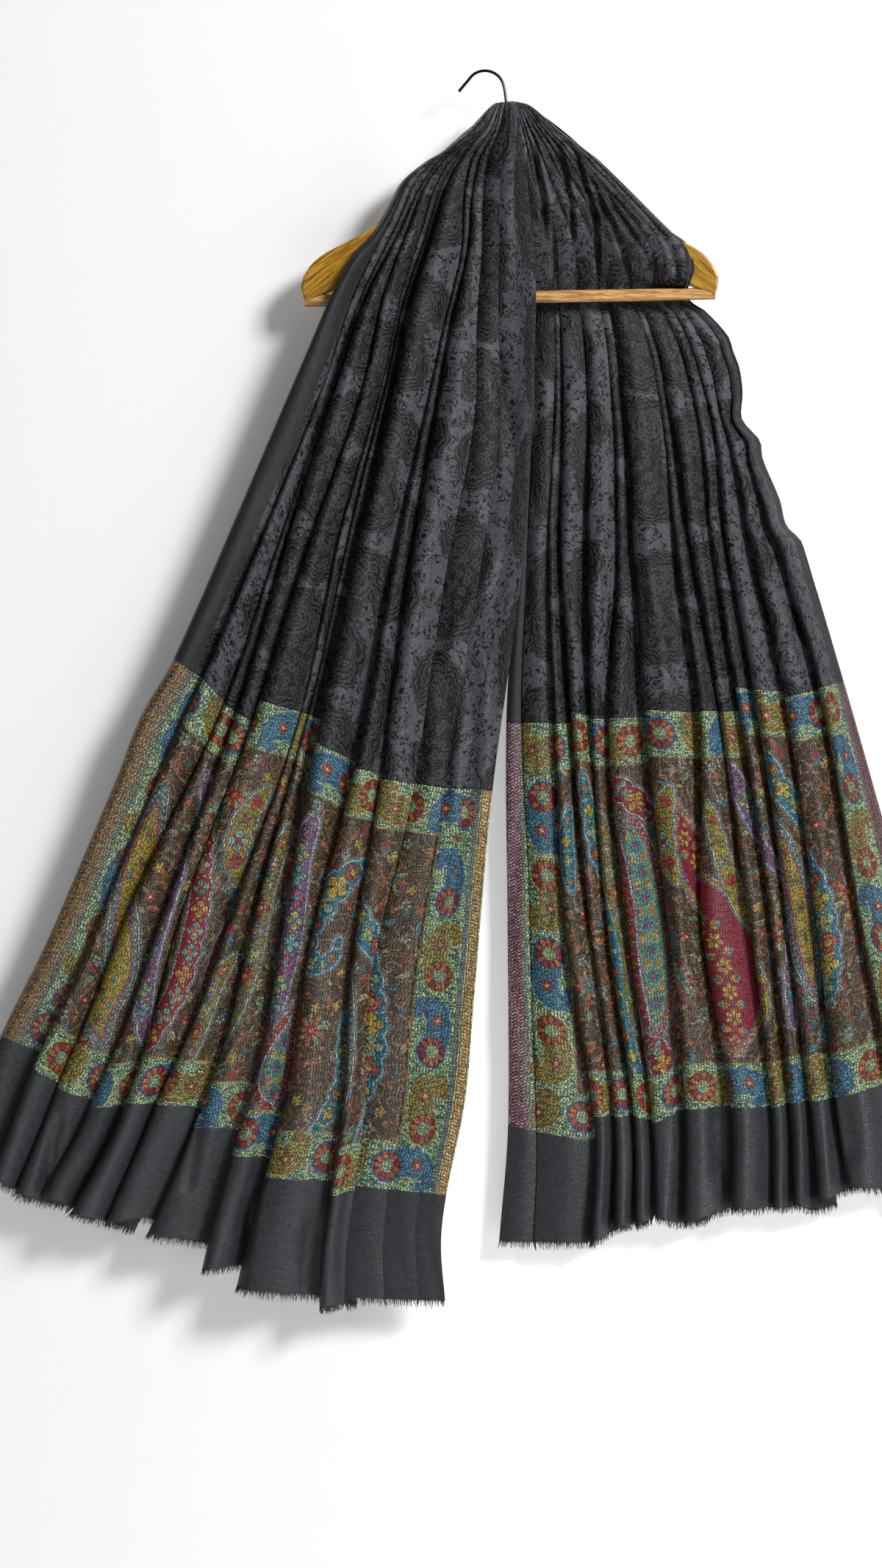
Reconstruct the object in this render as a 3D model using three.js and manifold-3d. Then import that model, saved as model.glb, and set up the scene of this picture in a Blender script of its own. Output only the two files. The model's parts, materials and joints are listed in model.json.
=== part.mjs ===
// A long patterned shawl hung by its middle over the neck of a wooden clothes hanger.
// Millimetres, +Z up, +X to the right as seen from the front, +Y away from the front.
// The origin is the inside top of the hook, where a rail or peg carries it.
// Both halves of the shawl fall forward from a gathered crown. The left half lies over
// the left arm and the bar. The right half lies over the right arm and then goes behind
// the bar. Every row across the cloth is a run of pleats, worked out from short tables.

import * as THREE from 'three';
import { mergeVertices } from 'three/addons/utils/BufferGeometryUtils.js';
import Module from 'manifold-3d';

const wasm = await Module();
wasm.setup();

// ---- driving dimensions ------------------------------------------------------------

const GAP = 0.3; // clearance kept between pieces that meet
const CLOTH = 1.8; // thickness of every cloth wall
const FRINGE_REACH = 7; // length of the short frayed fringe
const BEFORE_ARM = -8.5; // y of the cloth's middle where it lies on the front of an arm
const BEHIND_BAR = 8.4; // y of the cloth's middle where it lies on the back of the bar

const HANGER = {
  neck: [21, -49], // x and z of the top of the wooden neck
  tilt: 1.0, // degrees; the left shoulder hangs lower
  thickness: 12,
  roundOver: 2.4, // rounding of the wooden edges
  barRadius: 5.7,
  barDrop: 166, // bar's centre line below the top of the neck
  barReach: 196, // half length of the bar before its ends are mitred
};

const HOOK = {
  wireRadius: 1.5,
  bendRadius: 18.5, // centre line of the hook's round bend
  stemSide: 20.6, // x of the stem where it enters the wood
  stemDepth: 16, // length of stem inside the wood
};

// Outline of one arm, mirrored for the other: [distance from the neck, drop from its top].
const ARM_TOP = [[0, 0], [12, -2], [34, -17], [80, -60], [130, -99], [168, -117.5]];
const ARM_TIP = { topControl: [193, -129], end: [199, -150], footControl: [200, -160], foot: [194.8, -168.2] };
const ARM_FOOT = [[177, -160], [168.7, -156.4], [160, -147], [138, -127], [85, -86], [40, -51], [14, -38], [0, -36]];

// Rows of the left half, from the crown's foot to the hem. run is the length of cloth
// from that foot. outer and inner are the [x, z] ends of the row. y is the plane that the
// pleats touch: with lean 0 they stand in front of it, with lean 1 behind it. swell is the
// share of their full depth. lap brings the inner side forward, over the other half.
const LEFT_ROWS = [
  { run: 0, outer: [-52, -84.6], inner: [37, -84.6], y: BEFORE_ARM, lean: 0, swell: 0.5, lap: 12 },
  { run: 88, outer: [-101.5, -143], inner: [47.5, -184], y: BEFORE_ARM, lean: 0, swell: 0.7, lap: 11 },
  { run: 160, outer: [-140, -204], inner: [47.5, -255.5], y: BEFORE_ARM, lean: 0, swell: 0.9, lap: 3 },
  { run: 238, outer: [-171.5, -274], inner: [44, -334], y: -9, lean: 0, swell: 1, lap: 0 },
  { run: 388, outer: [-231, -411], inner: [34, -484], y: -8, lean: 0, swell: 1, lap: 0 },
  { run: 572, outer: [-296, -561], inner: [7, -686], y: -6, lean: 0, swell: 1, lap: 0 },
  { run: 767, outer: [-380, -738], inner: [-10, -878.5], y: -4, lean: 0, swell: 1, lap: 0 },
  { run: 962, outer: [-462, -915], inner: [-37, -1072], y: -2, lean: 0, swell: 1, lap: 0 },
  { run: 1072, outer: [-500.5, -1025.5], inner: [-38, -1173], y: 0, lean: 0, swell: 1, lap: 0 },
];

const RIGHT_ROWS = [
  { run: 0, outer: [109, -84.6], inner: [29.5, -84.6], y: BEFORE_ARM, lean: 0, swell: 0.4, lap: 0 },
  { run: 72, outer: [168, -143], inner: [36.5, -143.5], y: BEFORE_ARM, lean: 0, swell: 0.6, lap: 0 },
  { run: 152, outer: [192, -212], inner: [40, -214.6], y: BEHIND_BAR, lean: 1, swell: 0.5, lap: 0 },
  { run: 264, outer: [258, -324.5], inner: [34, -317], y: BEHIND_BAR, lean: 1, swell: 0.9, lap: 0 },
  { run: 408, outer: [319.5, -454.5], inner: [29.5, -460.5], y: 8, lean: 0.9, swell: 1, lap: 0 },
  { run: 554, outer: [355.5, -581], inner: [22.5, -621.5], y: 8, lean: 0.7, swell: 1, lap: 0 },
  { run: 751, outer: [409.5, -770.5], inner: [23, -818.5], y: 8, lean: 0.6, swell: 1, lap: 0 },
  { run: 948, outer: [463.5, -960.5], inner: [24, -1015.5], y: 8, lean: 0.5, swell: 1, lap: 0 },
  { run: 1060, outer: [494.5, -1067], inner: [16, -1129], y: 8, lean: 0.5, swell: 1, lap: 0 },
];

// Pleats, from the outer selvedge inwards on the left half and from the inner selvedge
// outwards on the right half. edge says where each pleat's front edge crosses each row of
// the table above, as a share of the row. depth is the pleat's full depth.
const LEFT_PLEATS = [
  { name: 'selvedge', depth: 9, edge: [0, 0, 0, 0, 0, 0, 0, 0, 0] },
  { name: 'first', depth: 14, edge: [0.045, 0.07, 0.09, 0.11, 0.103, 0.095, 0.08, 0.079, 0.071] },
  { name: 'second', depth: 11, edge: [0.085, 0.105, 0.115, 0.132, 0.15, 0.159, 0.127, 0.132, 0.115] },
  { name: 'third', depth: 12, edge: [0.125, 0.14, 0.145, 0.156, 0.174, 0.195, 0.205, 0.201, 0.168] },
  { name: 'fourth', depth: 15, edge: [0.17, 0.2, 0.235, 0.27, 0.269, 0.27, 0.261, 0.284, 0.231] },
  { name: 'fifth', depth: 13, edge: [0.24, 0.27, 0.31, 0.346, 0.36, 0.395, 0.385, 0.35, 0.3] },
  { name: 'sixth', depth: 12, edge: [0.29, 0.31, 0.34, 0.37, 0.386, 0.422, 0.435, 0.431, 0.39] },
  { name: 'seventh', depth: 15, edge: [0.34, 0.355, 0.37, 0.394, 0.412, 0.45, 0.497, 0.52, 0.505] },
  { name: 'eighth', depth: 15, edge: [0.45, 0.53, 0.54, 0.542, 0.541, 0.568, 0.566, 0.596, 0.576] },
  { name: 'ninth', depth: 13, edge: [0.53, 0.58, 0.585, 0.589, 0.599, 0.654, 0.677, 0.743, 0.744] },
  { name: 'tenth', depth: 14, edge: [0.62, 0.66, 0.7, 0.75, 0.728, 0.757, 0.73, 0.79, 0.79] },
  { name: 'eleventh', depth: 10, edge: [0.76, 0.756, 0.81, 0.86, 0.85, 0.843, 0.84, 0.87, 0.87] },
  { name: 'twelfth', depth: 8, edge: [0.88, 0.868, 0.91, 0.93, 0.925, 0.912, 0.92, 0.94, 0.94] },
];

const RIGHT_PLEATS = [
  { name: 'selvedge', depth: 9, edge: [0, 0, 0, 0, 0, 0, 0, 0, 0] },
  { name: 'first', depth: 10, edge: [0.07, 0.058, 0.055, 0.06, 0.045, 0.05, 0.06, 0.07, 0.07] },
  { name: 'second', depth: 14, edge: [0.15, 0.15, 0.155, 0.15, 0.114, 0.14, 0.147, 0.19, 0.183] },
  { name: 'third', depth: 12, edge: [0.22, 0.215, 0.205, 0.19, 0.155, 0.19, 0.208, 0.232, 0.23] },
  { name: 'fourth', depth: 13, edge: [0.31, 0.31, 0.31, 0.3, 0.254, 0.245, 0.255, 0.274, 0.275] },
  { name: 'fifth', depth: 13, edge: [0.41, 0.43, 0.43, 0.41, 0.355, 0.3, 0.305, 0.316, 0.318] },
  { name: 'sixth', depth: 15, edge: [0.5, 0.53, 0.5, 0.46, 0.41, 0.41, 0.4, 0.392, 0.377] },
  { name: 'seventh', depth: 15, edge: [0.6, 0.64, 0.64, 0.615, 0.568, 0.57, 0.488, 0.495, 0.47] },
  { name: 'eighth', depth: 13, edge: [0.68, 0.72, 0.7, 0.665, 0.62, 0.634, 0.607, 0.586, 0.554] },
  { name: 'ninth', depth: 12, edge: [0.76, 0.79, 0.79, 0.765, 0.69, 0.68, 0.657, 0.627, 0.594] },
  { name: 'tenth', depth: 12, edge: [0.83, 0.85, 0.85, 0.83, 0.745, 0.727, 0.703, 0.668, 0.64] },
  { name: 'eleventh', depth: 14, edge: [0.89, 0.91, 0.91, 0.89, 0.83, 0.82, 0.78, 0.72, 0.7] },
  { name: 'twelfth', depth: 12, edge: [0.95, 0.96, 0.96, 0.95, 0.92, 0.92, 0.88, 0.84, 0.82] },
];

// Points across each pleat, as a share of its width, with the share of its depth there:
// a rounded front edge, a face that falls away, and a steep return to the next pleat.
const PLEAT_SHAPE = [
  { across: 0, out: 1 },
  { across: 0.55, out: 0.62 },
  { across: 0.86, out: 0 },
];
const DEPTH_TO_WIDTH = 0.62; // a pleat is never deeper than this share of its width

// The gathered crown: rings of one rounded solid. left and right are the ends of each
// ring along X, front and back its ends along Y.
const CROWN_RINGS = [
  { z: -31.2, left: 17, right: 31, front: -4, back: 9 },
  { z: -35, left: 7, right: 43, front: -10, back: 14 },
  { z: -43, left: 0, right: 58, front: -16, back: 18 },
  { z: -52, left: -6, right: 68, front: -21, back: 20 },
  { z: -60, left: -20, right: 77, front: -24, back: 21 },
  { z: -67, left: -35, right: 87, front: -26, back: 21 },
  { z: -76, left: -44, right: 99, front: -28, back: 21 },
  { z: -84.2, left: -53, right: 110, front: -29, back: 20 },
];
const CROWN_SIDES = 42;
const CROWN_FLUTES = 14; // gathers that run up and over the crown
const CROWN_FLUTE_DEPTH = 0.04; // as a share of the ring's half size

const COLOURS = {
  steel: { color: 0x55585c, roughness: 0.35, metalness: 0.9 },
  oak: { color: 0xb9822f, roughness: 0.5, metalness: 0 },
  charcoal: { color: 0x343638, roughness: 0.8, metalness: 0 },
  border: { color: 0x6d8f6b, roughness: 0.85, metalness: 0 },
  endCloth: { color: 0x3c3d3f, roughness: 0.85, metalness: 0 },
  fringe: { color: 0x2d2e30, roughness: 0.9, metalness: 0 },
};

// ---- small helpers -----------------------------------------------------------------

const mix = (a, b, t) => a + (b - a) * t;
const clamp = (v, low, high) => Math.min(high, Math.max(low, v));
const smoothstep = (v, low, high) => {
  const t = clamp((v - low) / (high - low), 0, 1);
  return t * t * (3 - 2 * t);
};

// Smooth curve through (at[i], values[i]) with Catmull-Rom slopes.
function along(at, values, t) {
  const last = at.length - 1;
  const v = clamp(t, at[0], at[last]);
  let i = 0;
  while (i < last - 1 && v > at[i + 1]) i += 1;
  const slope = (k) => {
    const a = Math.max(0, k - 1);
    const b = Math.min(last, k + 1);
    return (values[b] - values[a]) / (at[b] - at[a]);
  };
  const step = at[i + 1] - at[i];
  const u = (v - at[i]) / step;
  const h = (1 + 2 * u) * (1 - u) ** 2 * values[i] + u * u * (3 - 2 * u) * values[i + 1];
  return h + step * (u * (1 - u) ** 2 * slope(i) - u * u * (1 - u) * slope(i + 1));
}

function toManifold(geometry) {
  const bare = new THREE.BufferGeometry();
  bare.setAttribute('position', geometry.getAttribute('position').clone());
  if (geometry.index) bare.setIndex(geometry.index.clone());
  const merged = mergeVertices(bare, 1e-4);
  return new wasm.Manifold(new wasm.Mesh({
    numProp: 3,
    vertProperties: new Float32Array(merged.getAttribute('position').array),
    triVerts: new Uint32Array(merged.index.array),
  }));
}

function toGeometry(solid) {
  const mesh = solid.getMesh();
  const geometry = new THREE.BufferGeometry();
  geometry.setAttribute('position', new THREE.BufferAttribute(new Float32Array(mesh.vertProperties), 3));
  geometry.setIndex(new THREE.BufferAttribute(new Uint32Array(mesh.triVerts), 1));
  return geometry;
}

function namedMesh(name, geometry, look) {
  const mesh = new THREE.Mesh(geometry, new THREE.MeshStandardMaterial(COLOURS[look]));
  mesh.name = name;
  return mesh;
}

// ---- the hanger --------------------------------------------------------------------

const TILT = THREE.MathUtils.degToRad(HANGER.tilt);

// Turns a point of the hanger's own upright frame to where it hangs.
function hangerPoint(x, z) {
  return [
    HANGER.neck[0] + x * Math.cos(TILT) - z * Math.sin(TILT),
    HANGER.neck[1] + x * Math.sin(TILT) + z * Math.cos(TILT),
  ];
}

// One arm of the hanger; grow moves every face out, for cutting its neighbours clear of it.
function armSolid(side, grow) {
  const shape = new THREE.Shape();
  const inset = grow > 0 ? -grow : GAP / 2;
  const put = (points, move) => points.forEach(([x, z], i) => {
    const px = side * Math.max(x, inset);
    if (i === 0 && move) shape.moveTo(px, z);
    else shape.lineTo(px, z);
  });
  put(ARM_TOP, true);
  const tip = ARM_TIP;
  shape.quadraticCurveTo(side * tip.topControl[0], tip.topControl[1], side * tip.end[0], tip.end[1]);
  shape.quadraticCurveTo(side * tip.footControl[0], tip.footControl[1], side * tip.foot[0], tip.foot[1]);
  put(ARM_FOOT, false);
  shape.closePath();
  const geometry = new THREE.ExtrudeGeometry(shape, {
    depth: HANGER.thickness - 2 * HANGER.roundOver + 2 * grow,
    bevelEnabled: true,
    bevelThickness: HANGER.roundOver,
    bevelSize: HANGER.roundOver,
    bevelOffset: -HANGER.roundOver + grow,
    bevelSegments: 2,
    curveSegments: 7,
  });
  geometry.translate(0, 0, -HANGER.thickness / 2 + HANGER.roundOver - grow);
  geometry.rotateX(Math.PI / 2);
  geometry.rotateY(-TILT);
  geometry.translate(HANGER.neck[0], 0, HANGER.neck[1]);
  return toManifold(geometry);
}

function barSolid(grow) {
  const geometry = new THREE.CylinderGeometry(
    HANGER.barRadius + grow, HANGER.barRadius + grow, 2 * HANGER.barReach, 20);
  geometry.rotateZ(Math.PI / 2);
  geometry.translate(0, 0, -HANGER.barDrop);
  geometry.rotateY(-TILT);
  geometry.translate(HANGER.neck[0], 0, HANGER.neck[1]);
  return toManifold(geometry);
}

// The hook's wire: a flared tip, a round bend, and a stem that runs down into the neck.
function hookSolid(grow) {
  const bend = HOOK.bendRadius;
  const centre = HOOK.wireRadius - bend;
  const bendPoint = (degrees) => {
    const a = THREE.MathUtils.degToRad(degrees);
    return new THREE.Vector3(bend * Math.cos(a), 0, centre + bend * Math.sin(a));
  };
  const points = [new THREE.Vector3(-25, 0, centre - 1.5), new THREE.Vector3(-21.5, 0, centre + 2.8)];
  for (let degrees = 150; degrees >= 10; degrees -= 20) points.push(bendPoint(degrees));
  const neckTop = HANGER.neck[1];
  points.push(new THREE.Vector3(HOOK.stemSide - 0.6, 0, centre - 9));
  points.push(new THREE.Vector3(HOOK.stemSide, 0, neckTop + 8));
  points.push(new THREE.Vector3(HOOK.stemSide, 0, neckTop - HOOK.stemDepth - grow));
  const wire = new THREE.Shape();
  wire.absarc(0, 0, HOOK.wireRadius + grow, 0, 2 * Math.PI, false);
  return toManifold(new THREE.ExtrudeGeometry(wire, {
    steps: 34,
    curveSegments: 4,
    bevelEnabled: false,
    extrudePath: new THREE.CatmullRomCurve3(points, false, 'centripetal'),
  }));
}

// Height of the arm's lower edge over a given x, and of the bar's centre line there.
function armFootHeight(x) {
  const foot = ARM_FOOT.map(([fx, fz]) => hangerPoint(fx, fz)).reverse();
  if (x <= foot[0][0]) return foot[0][1];
  for (let i = 1; i < foot.length; i += 1) {
    if (x <= foot[i][0]) {
      const u = (x - foot[i - 1][0]) / (foot[i][0] - foot[i - 1][0]);
      return mix(foot[i - 1][1], foot[i][1], u);
    }
  }
  return foot[foot.length - 1][1];
}

function barHeight(x) {
  const [bx, bz] = hangerPoint(0, -HANGER.barDrop);
  return bz + (x - bx) * Math.tan(TILT);
}

// ---- the cloth ---------------------------------------------------------------------

// One row of a half at a length of run: its ends, its plane and its pleats' front edges.
function rowAt(rows, pleats, run) {
  const at = rows.map((row) => row.run);
  const read = (pick) => along(at, rows.map(pick), run);
  return {
    outer: [read((row) => row.outer[0]), read((row) => row.outer[1])],
    inner: [read((row) => row.inner[0]), read((row) => row.inner[1])],
    y: read((row) => row.y),
    lean: clamp(read((row) => row.lean), 0, 1),
    swell: read((row) => row.swell),
    lap: read((row) => row.lap),
    edges: pleats.map((pleat) => along(at, pleat.edge, run)).concat(1),
  };
}

// Middle surface of a row: a list of points from its first selvedge to its last.
function rowPoints(rows, pleats, run, fromInner, planeOf) {
  const row = rowAt(rows, pleats, run);
  const first = fromInner ? row.inner : row.outer;
  const second = fromInner ? row.outer : row.inner;
  const width = Math.hypot(second[0] - first[0], second[1] - first[1]);
  const points = [];
  const place = (share, out) => {
    const x = mix(first[0], second[0], share);
    const z = mix(first[1], second[1], share);
    const plane = planeOf ? planeOf(x, z, row) : row;
    const inwards = fromInner ? 1 - share : share;
    const y = plane.y + plane.lean * plane.fill * out.depth
      - plane.fill * out.depth * out.share - row.lap * smoothstep(inwards, 0.5, 0.84);
    points.push(new THREE.Vector3(x, y, z));
  };
  let depth = 0;
  pleats.forEach((pleat, i) => {
    const start = row.edges[i];
    const wide = row.edges[i + 1] - start;
    depth = Math.min(pleat.depth, DEPTH_TO_WIDTH * wide * width);
    PLEAT_SHAPE.forEach(({ across, out }) => place(start + across * wide, { depth, share: out }));
  });
  place(1, { depth, share: 0.5 });
  return points;
}

// A closed wall of even thickness round a grid of middle points.
function wallGeometry(grid) {
  const rows = grid.length;
  const columns = grid[0].length;
  const normals = grid.map((row, r) => row.map((point, c) => {
    const across = new THREE.Vector3().subVectors(row[Math.min(c + 1, columns - 1)], row[Math.max(c - 1, 0)]);
    const down = new THREE.Vector3().subVectors(
      grid[Math.min(r + 1, rows - 1)][c], grid[Math.max(r - 1, 0)][c]);
    return across.cross(down).normalize();
  }));
  const facing = normals[Math.floor(rows / 2)][Math.floor(columns / 2)].y < 0 ? 1 : -1;
  const positions = [];
  for (const side of [1, -1]) {
    grid.forEach((row, r) => row.forEach((point, c) => {
      const moved = point.clone().addScaledVector(normals[r][c], side * facing * CLOTH / 2);
      positions.push(moved.x, moved.y, moved.z);
    }));
  }
  const back = rows * columns;
  const index = [];
  const quad = (a, b, c, d) => index.push(a, b, c, a, c, d);
  const at = (r, c) => r * columns + c;
  for (let r = 0; r < rows - 1; r += 1) {
    for (let c = 0; c < columns - 1; c += 1) {
      quad(at(r, c), at(r + 1, c), at(r + 1, c + 1), at(r, c + 1));
      quad(back + at(r, c), back + at(r, c + 1), back + at(r + 1, c + 1), back + at(r + 1, c));
    }
  }
  const rim = [];
  for (let c = 0; c < columns; c += 1) rim.push(at(0, c));
  for (let r = 1; r < rows; r += 1) rim.push(at(r, columns - 1));
  for (let c = columns - 2; c >= 0; c -= 1) rim.push(at(rows - 1, c));
  for (let r = rows - 2; r > 0; r -= 1) rim.push(at(r, 0));
  rim.forEach((a, i) => {
    const b = rim[(i + 1) % rim.length];
    quad(a, b, back + b, back + a);
  });
  const flip = facing < 0;
  const geometry = new THREE.BufferGeometry();
  geometry.setAttribute('position', new THREE.Float32BufferAttribute(positions, 3));
  geometry.setIndex(flip ? index : index.map((v, i) => index[i - (i % 3) + [0, 2, 1][i % 3]]));
  return geometry;
}

// A stretch of cloth between two lengths of run, in a number of even bands.
function stretch(half, from, to, bands) {
  const grid = [];
  for (let i = 0; i <= bands; i += 1) {
    grid.push(half(mix(from + GAP / 2, to - GAP / 2, i / bands)));
  }
  return wallGeometry(grid);
}

const plain = (x, z, row) => ({ y: row.y, lean: row.lean, fill: row.swell });

// Between the right arm and the bar the cloth slants back and rounds the top of the bar.
function throughBar(x, z, row) {
  const reach = BEHIND_BAR;
  const centre = barHeight(x);
  const foot = armFootHeight(x) - 3;
  const above = z - centre;
  if (above <= 0) return { y: row.y, lean: 1, fill: row.swell };
  const slant = smoothstep(z, foot, centre);
  const rounded = above < reach ? Math.sqrt(reach * reach - above * above) : BEFORE_ARM;
  const room = clamp((foot - centre - 6) / 34, 0.08, 1);
  const y = Math.max(mix(BEFORE_ARM, reach, slant), rounded);
  const crossing = 4 * slant * (1 - slant);
  return { y, lean: slant, fill: row.swell * mix(1, 0.35, crossing) * mix(1, room, Math.min(1, 2 * slant)) };
}

const leftRow = (run) => rowPoints(LEFT_ROWS, LEFT_PLEATS, run, false, plain);
const rightRow = (run) => rowPoints(RIGHT_ROWS, RIGHT_PLEATS, run, true, plain);

// The right yoke's rows stay level with the bar as they near it.
const YOKE_SHARES = [0, 0.2, 0.4, 0.58, 0.72, 0.82, 0.88, 0.915, 0.94, 0.965, 1];
const BAR_RUN = RIGHT_ROWS[2].run;

function rightYoke() {
  const grid = YOKE_SHARES.map((share) => {
    const run = BAR_RUN * share - (share === 1 ? GAP / 2 : 0);
    return rowPoints(RIGHT_ROWS, RIGHT_PLEATS, run, true, throughBar);
  });
  return wallGeometry(grid);
}

function fringe(half, hem) {
  const edge = half(hem);
  const above = half(hem - 20);
  const grid = [GAP / 2, FRINGE_REACH].map((drop) => edge.map((point, i) => {
    const down = new THREE.Vector3().subVectors(point, above[i]).normalize();
    return point.clone().addScaledVector(down, drop);
  }));
  return wallGeometry(grid);
}

// The crown is one rounded, fluted solid, cut clear of the wood and of the hook's stem.
function crownGeometry(cutters) {
  const profile = CROWN_RINGS.map((ring) => {
    const points = [];
    for (let i = 0; i < CROWN_SIDES; i += 1) {
      const a = (2 * Math.PI * i) / CROWN_SIDES;
      const flute = 1 + CROWN_FLUTE_DEPTH * Math.cos(CROWN_FLUTES * a);
      const reach = Math.sin(a) < 0 ? -ring.front : ring.back;
      const x = mix(ring.left, ring.right, 0.5) + ((ring.right - ring.left) / 2) * flute * Math.cos(a);
      points.push([x, reach * flute * Math.sin(a), ring.z]);
    }
    return points;
  });
  const positions = profile.flat(2);
  const top = CROWN_RINGS[0];
  const foot = CROWN_RINGS[CROWN_RINGS.length - 1];
  const topCentre = profile.length * CROWN_SIDES;
  positions.push(mix(top.left, top.right, 0.5), 0, top.z + 1.2);
  positions.push(mix(foot.left, foot.right, 0.5), 0, foot.z);
  const index = [];
  for (let i = 0; i < CROWN_SIDES; i += 1) {
    const j = (i + 1) % CROWN_SIDES;
    index.push(topCentre, i, j);
    for (let r = 0; r < profile.length - 1; r += 1) {
      const a = r * CROWN_SIDES;
      const b = a + CROWN_SIDES;
      index.push(a + i, b + i, b + j, a + i, b + j, a + j);
    }
    const last = (profile.length - 1) * CROWN_SIDES;
    index.push(topCentre + 1, last + j, last + i);
  }
  const geometry = new THREE.BufferGeometry();
  geometry.setAttribute('position', new THREE.Float32BufferAttribute(positions, 3));
  geometry.setIndex(index);
  return toGeometry(cutters.reduce((solid, cutter) => solid.subtract(cutter), toManifold(geometry)));
}

// ---- assembly ----------------------------------------------------------------------

const hanger = new THREE.Group();
const stem = hookSolid(GAP);
const grownArms = [armSolid(-1, GAP), armSolid(1, GAP)];
hanger.add(
  namedMesh('hook', toGeometry(hookSolid(0)), 'steel'),
  namedMesh('hanger_arm_left', toGeometry(armSolid(-1, 0).subtract(stem)), 'oak'),
  namedMesh('hanger_arm_right', toGeometry(armSolid(1, 0).subtract(stem)), 'oak'),
  namedMesh('hanger_bar', toGeometry(barSolid(0).subtract(grownArms[0]).subtract(grownArms[1])), 'oak'),
);

const [LEFT_PANEL, LEFT_END, LEFT_HEM] = [5, 7, 8].map((i) => LEFT_ROWS[i].run);
const [RIGHT_PANEL, RIGHT_END, RIGHT_HEM] = [5, 7, 8].map((i) => RIGHT_ROWS[i].run);

const shawl = new THREE.Group();
shawl.add(
  namedMesh('shawl_crown', crownGeometry([...grownArms, stem]), 'charcoal'),
  namedMesh('left_field', stretch(leftRow, 0, LEFT_PANEL, 8), 'charcoal'),
  namedMesh('left_panel', stretch(leftRow, LEFT_PANEL, LEFT_END, 4), 'border'),
  namedMesh('left_end', stretch(leftRow, LEFT_END, LEFT_HEM, 2), 'endCloth'),
  namedMesh('left_fringe', fringe(leftRow, LEFT_HEM), 'fringe'),
  namedMesh('right_yoke', rightYoke(), 'charcoal'),
  namedMesh('right_field', stretch(rightRow, BAR_RUN, RIGHT_PANEL, 6), 'charcoal'),
  namedMesh('right_panel', stretch(rightRow, RIGHT_PANEL, RIGHT_END, 4), 'border'),
  namedMesh('right_end', stretch(rightRow, RIGHT_END, RIGHT_HEM, 2), 'endCloth'),
  namedMesh('right_fringe', fringe(rightRow, RIGHT_HEM), 'fringe'),
);

const shawlOnHanger = new THREE.Group();
shawlOnHanger.add(hanger, shawl);

export default shawlOnHanger;
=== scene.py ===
"""A long patterned shawl, hung by its gathered middle on a wooden clothes hanger.

Lengths in the tables are millimetres, and MM turns them into Blender's metres. +Z is up, +X is
to the right seen from the front, and the origin is the inside top of the hanger's hook.
"""

import json
import math
from collections import namedtuple

import bmesh
import bpy
import numpy as np
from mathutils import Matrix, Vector

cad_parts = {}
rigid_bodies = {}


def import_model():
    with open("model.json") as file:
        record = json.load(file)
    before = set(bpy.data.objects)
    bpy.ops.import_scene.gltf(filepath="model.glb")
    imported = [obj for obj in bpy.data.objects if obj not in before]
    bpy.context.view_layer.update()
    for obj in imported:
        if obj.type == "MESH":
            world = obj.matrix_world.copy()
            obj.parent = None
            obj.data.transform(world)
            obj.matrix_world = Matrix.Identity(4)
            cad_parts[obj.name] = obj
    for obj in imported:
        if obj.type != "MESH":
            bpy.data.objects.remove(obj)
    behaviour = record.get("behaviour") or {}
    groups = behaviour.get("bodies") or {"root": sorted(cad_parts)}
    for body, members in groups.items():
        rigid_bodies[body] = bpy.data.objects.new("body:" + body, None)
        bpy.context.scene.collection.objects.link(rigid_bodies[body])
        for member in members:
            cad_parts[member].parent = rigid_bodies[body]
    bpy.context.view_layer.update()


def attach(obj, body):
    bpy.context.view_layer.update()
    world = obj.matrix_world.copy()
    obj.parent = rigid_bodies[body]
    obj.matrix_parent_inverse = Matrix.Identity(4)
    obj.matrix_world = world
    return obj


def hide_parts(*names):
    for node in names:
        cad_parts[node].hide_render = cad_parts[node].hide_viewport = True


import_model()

bl_info = {
    "name": "Shawl on a hanger",
    "version": (1, 0, 0),
    "blender": (4, 5, 0),
    "location": "View3D > Sidebar > Shawl",
    "description": "Builds a pleated shawl with woven end panels on a wooden hanger",
    "category": "Add Mesh",
}

MM = 0.001

CLOTH_WIDE = 1000.0
# Runs at which the stretches of each half meet.
CROWN_TOP = -104
LEFT_PANEL, LEFT_END, LEFT_HEM = 572, 962, 1072
RIGHT_BAR, RIGHT_PANEL, RIGHT_END, RIGHT_HEM = 152, 554, 948, 1060

# ---- the shawl's rows and pleats ---------------------------------------------------------

# run is the length of cloth from the crown's foot. outer and inner are the [x, z] ends of the
# row. y is the plane that the pleats touch: with lean 0 they stand in front of it, with lean 1
# behind it. swell is the share of their full depth. lap brings the inner side forward. turn is
# the angle at which the pleats stand out, 0 to the front and 90 straight up.
Row = namedtuple("Row", "run outer inner y lean swell lap turn")

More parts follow.
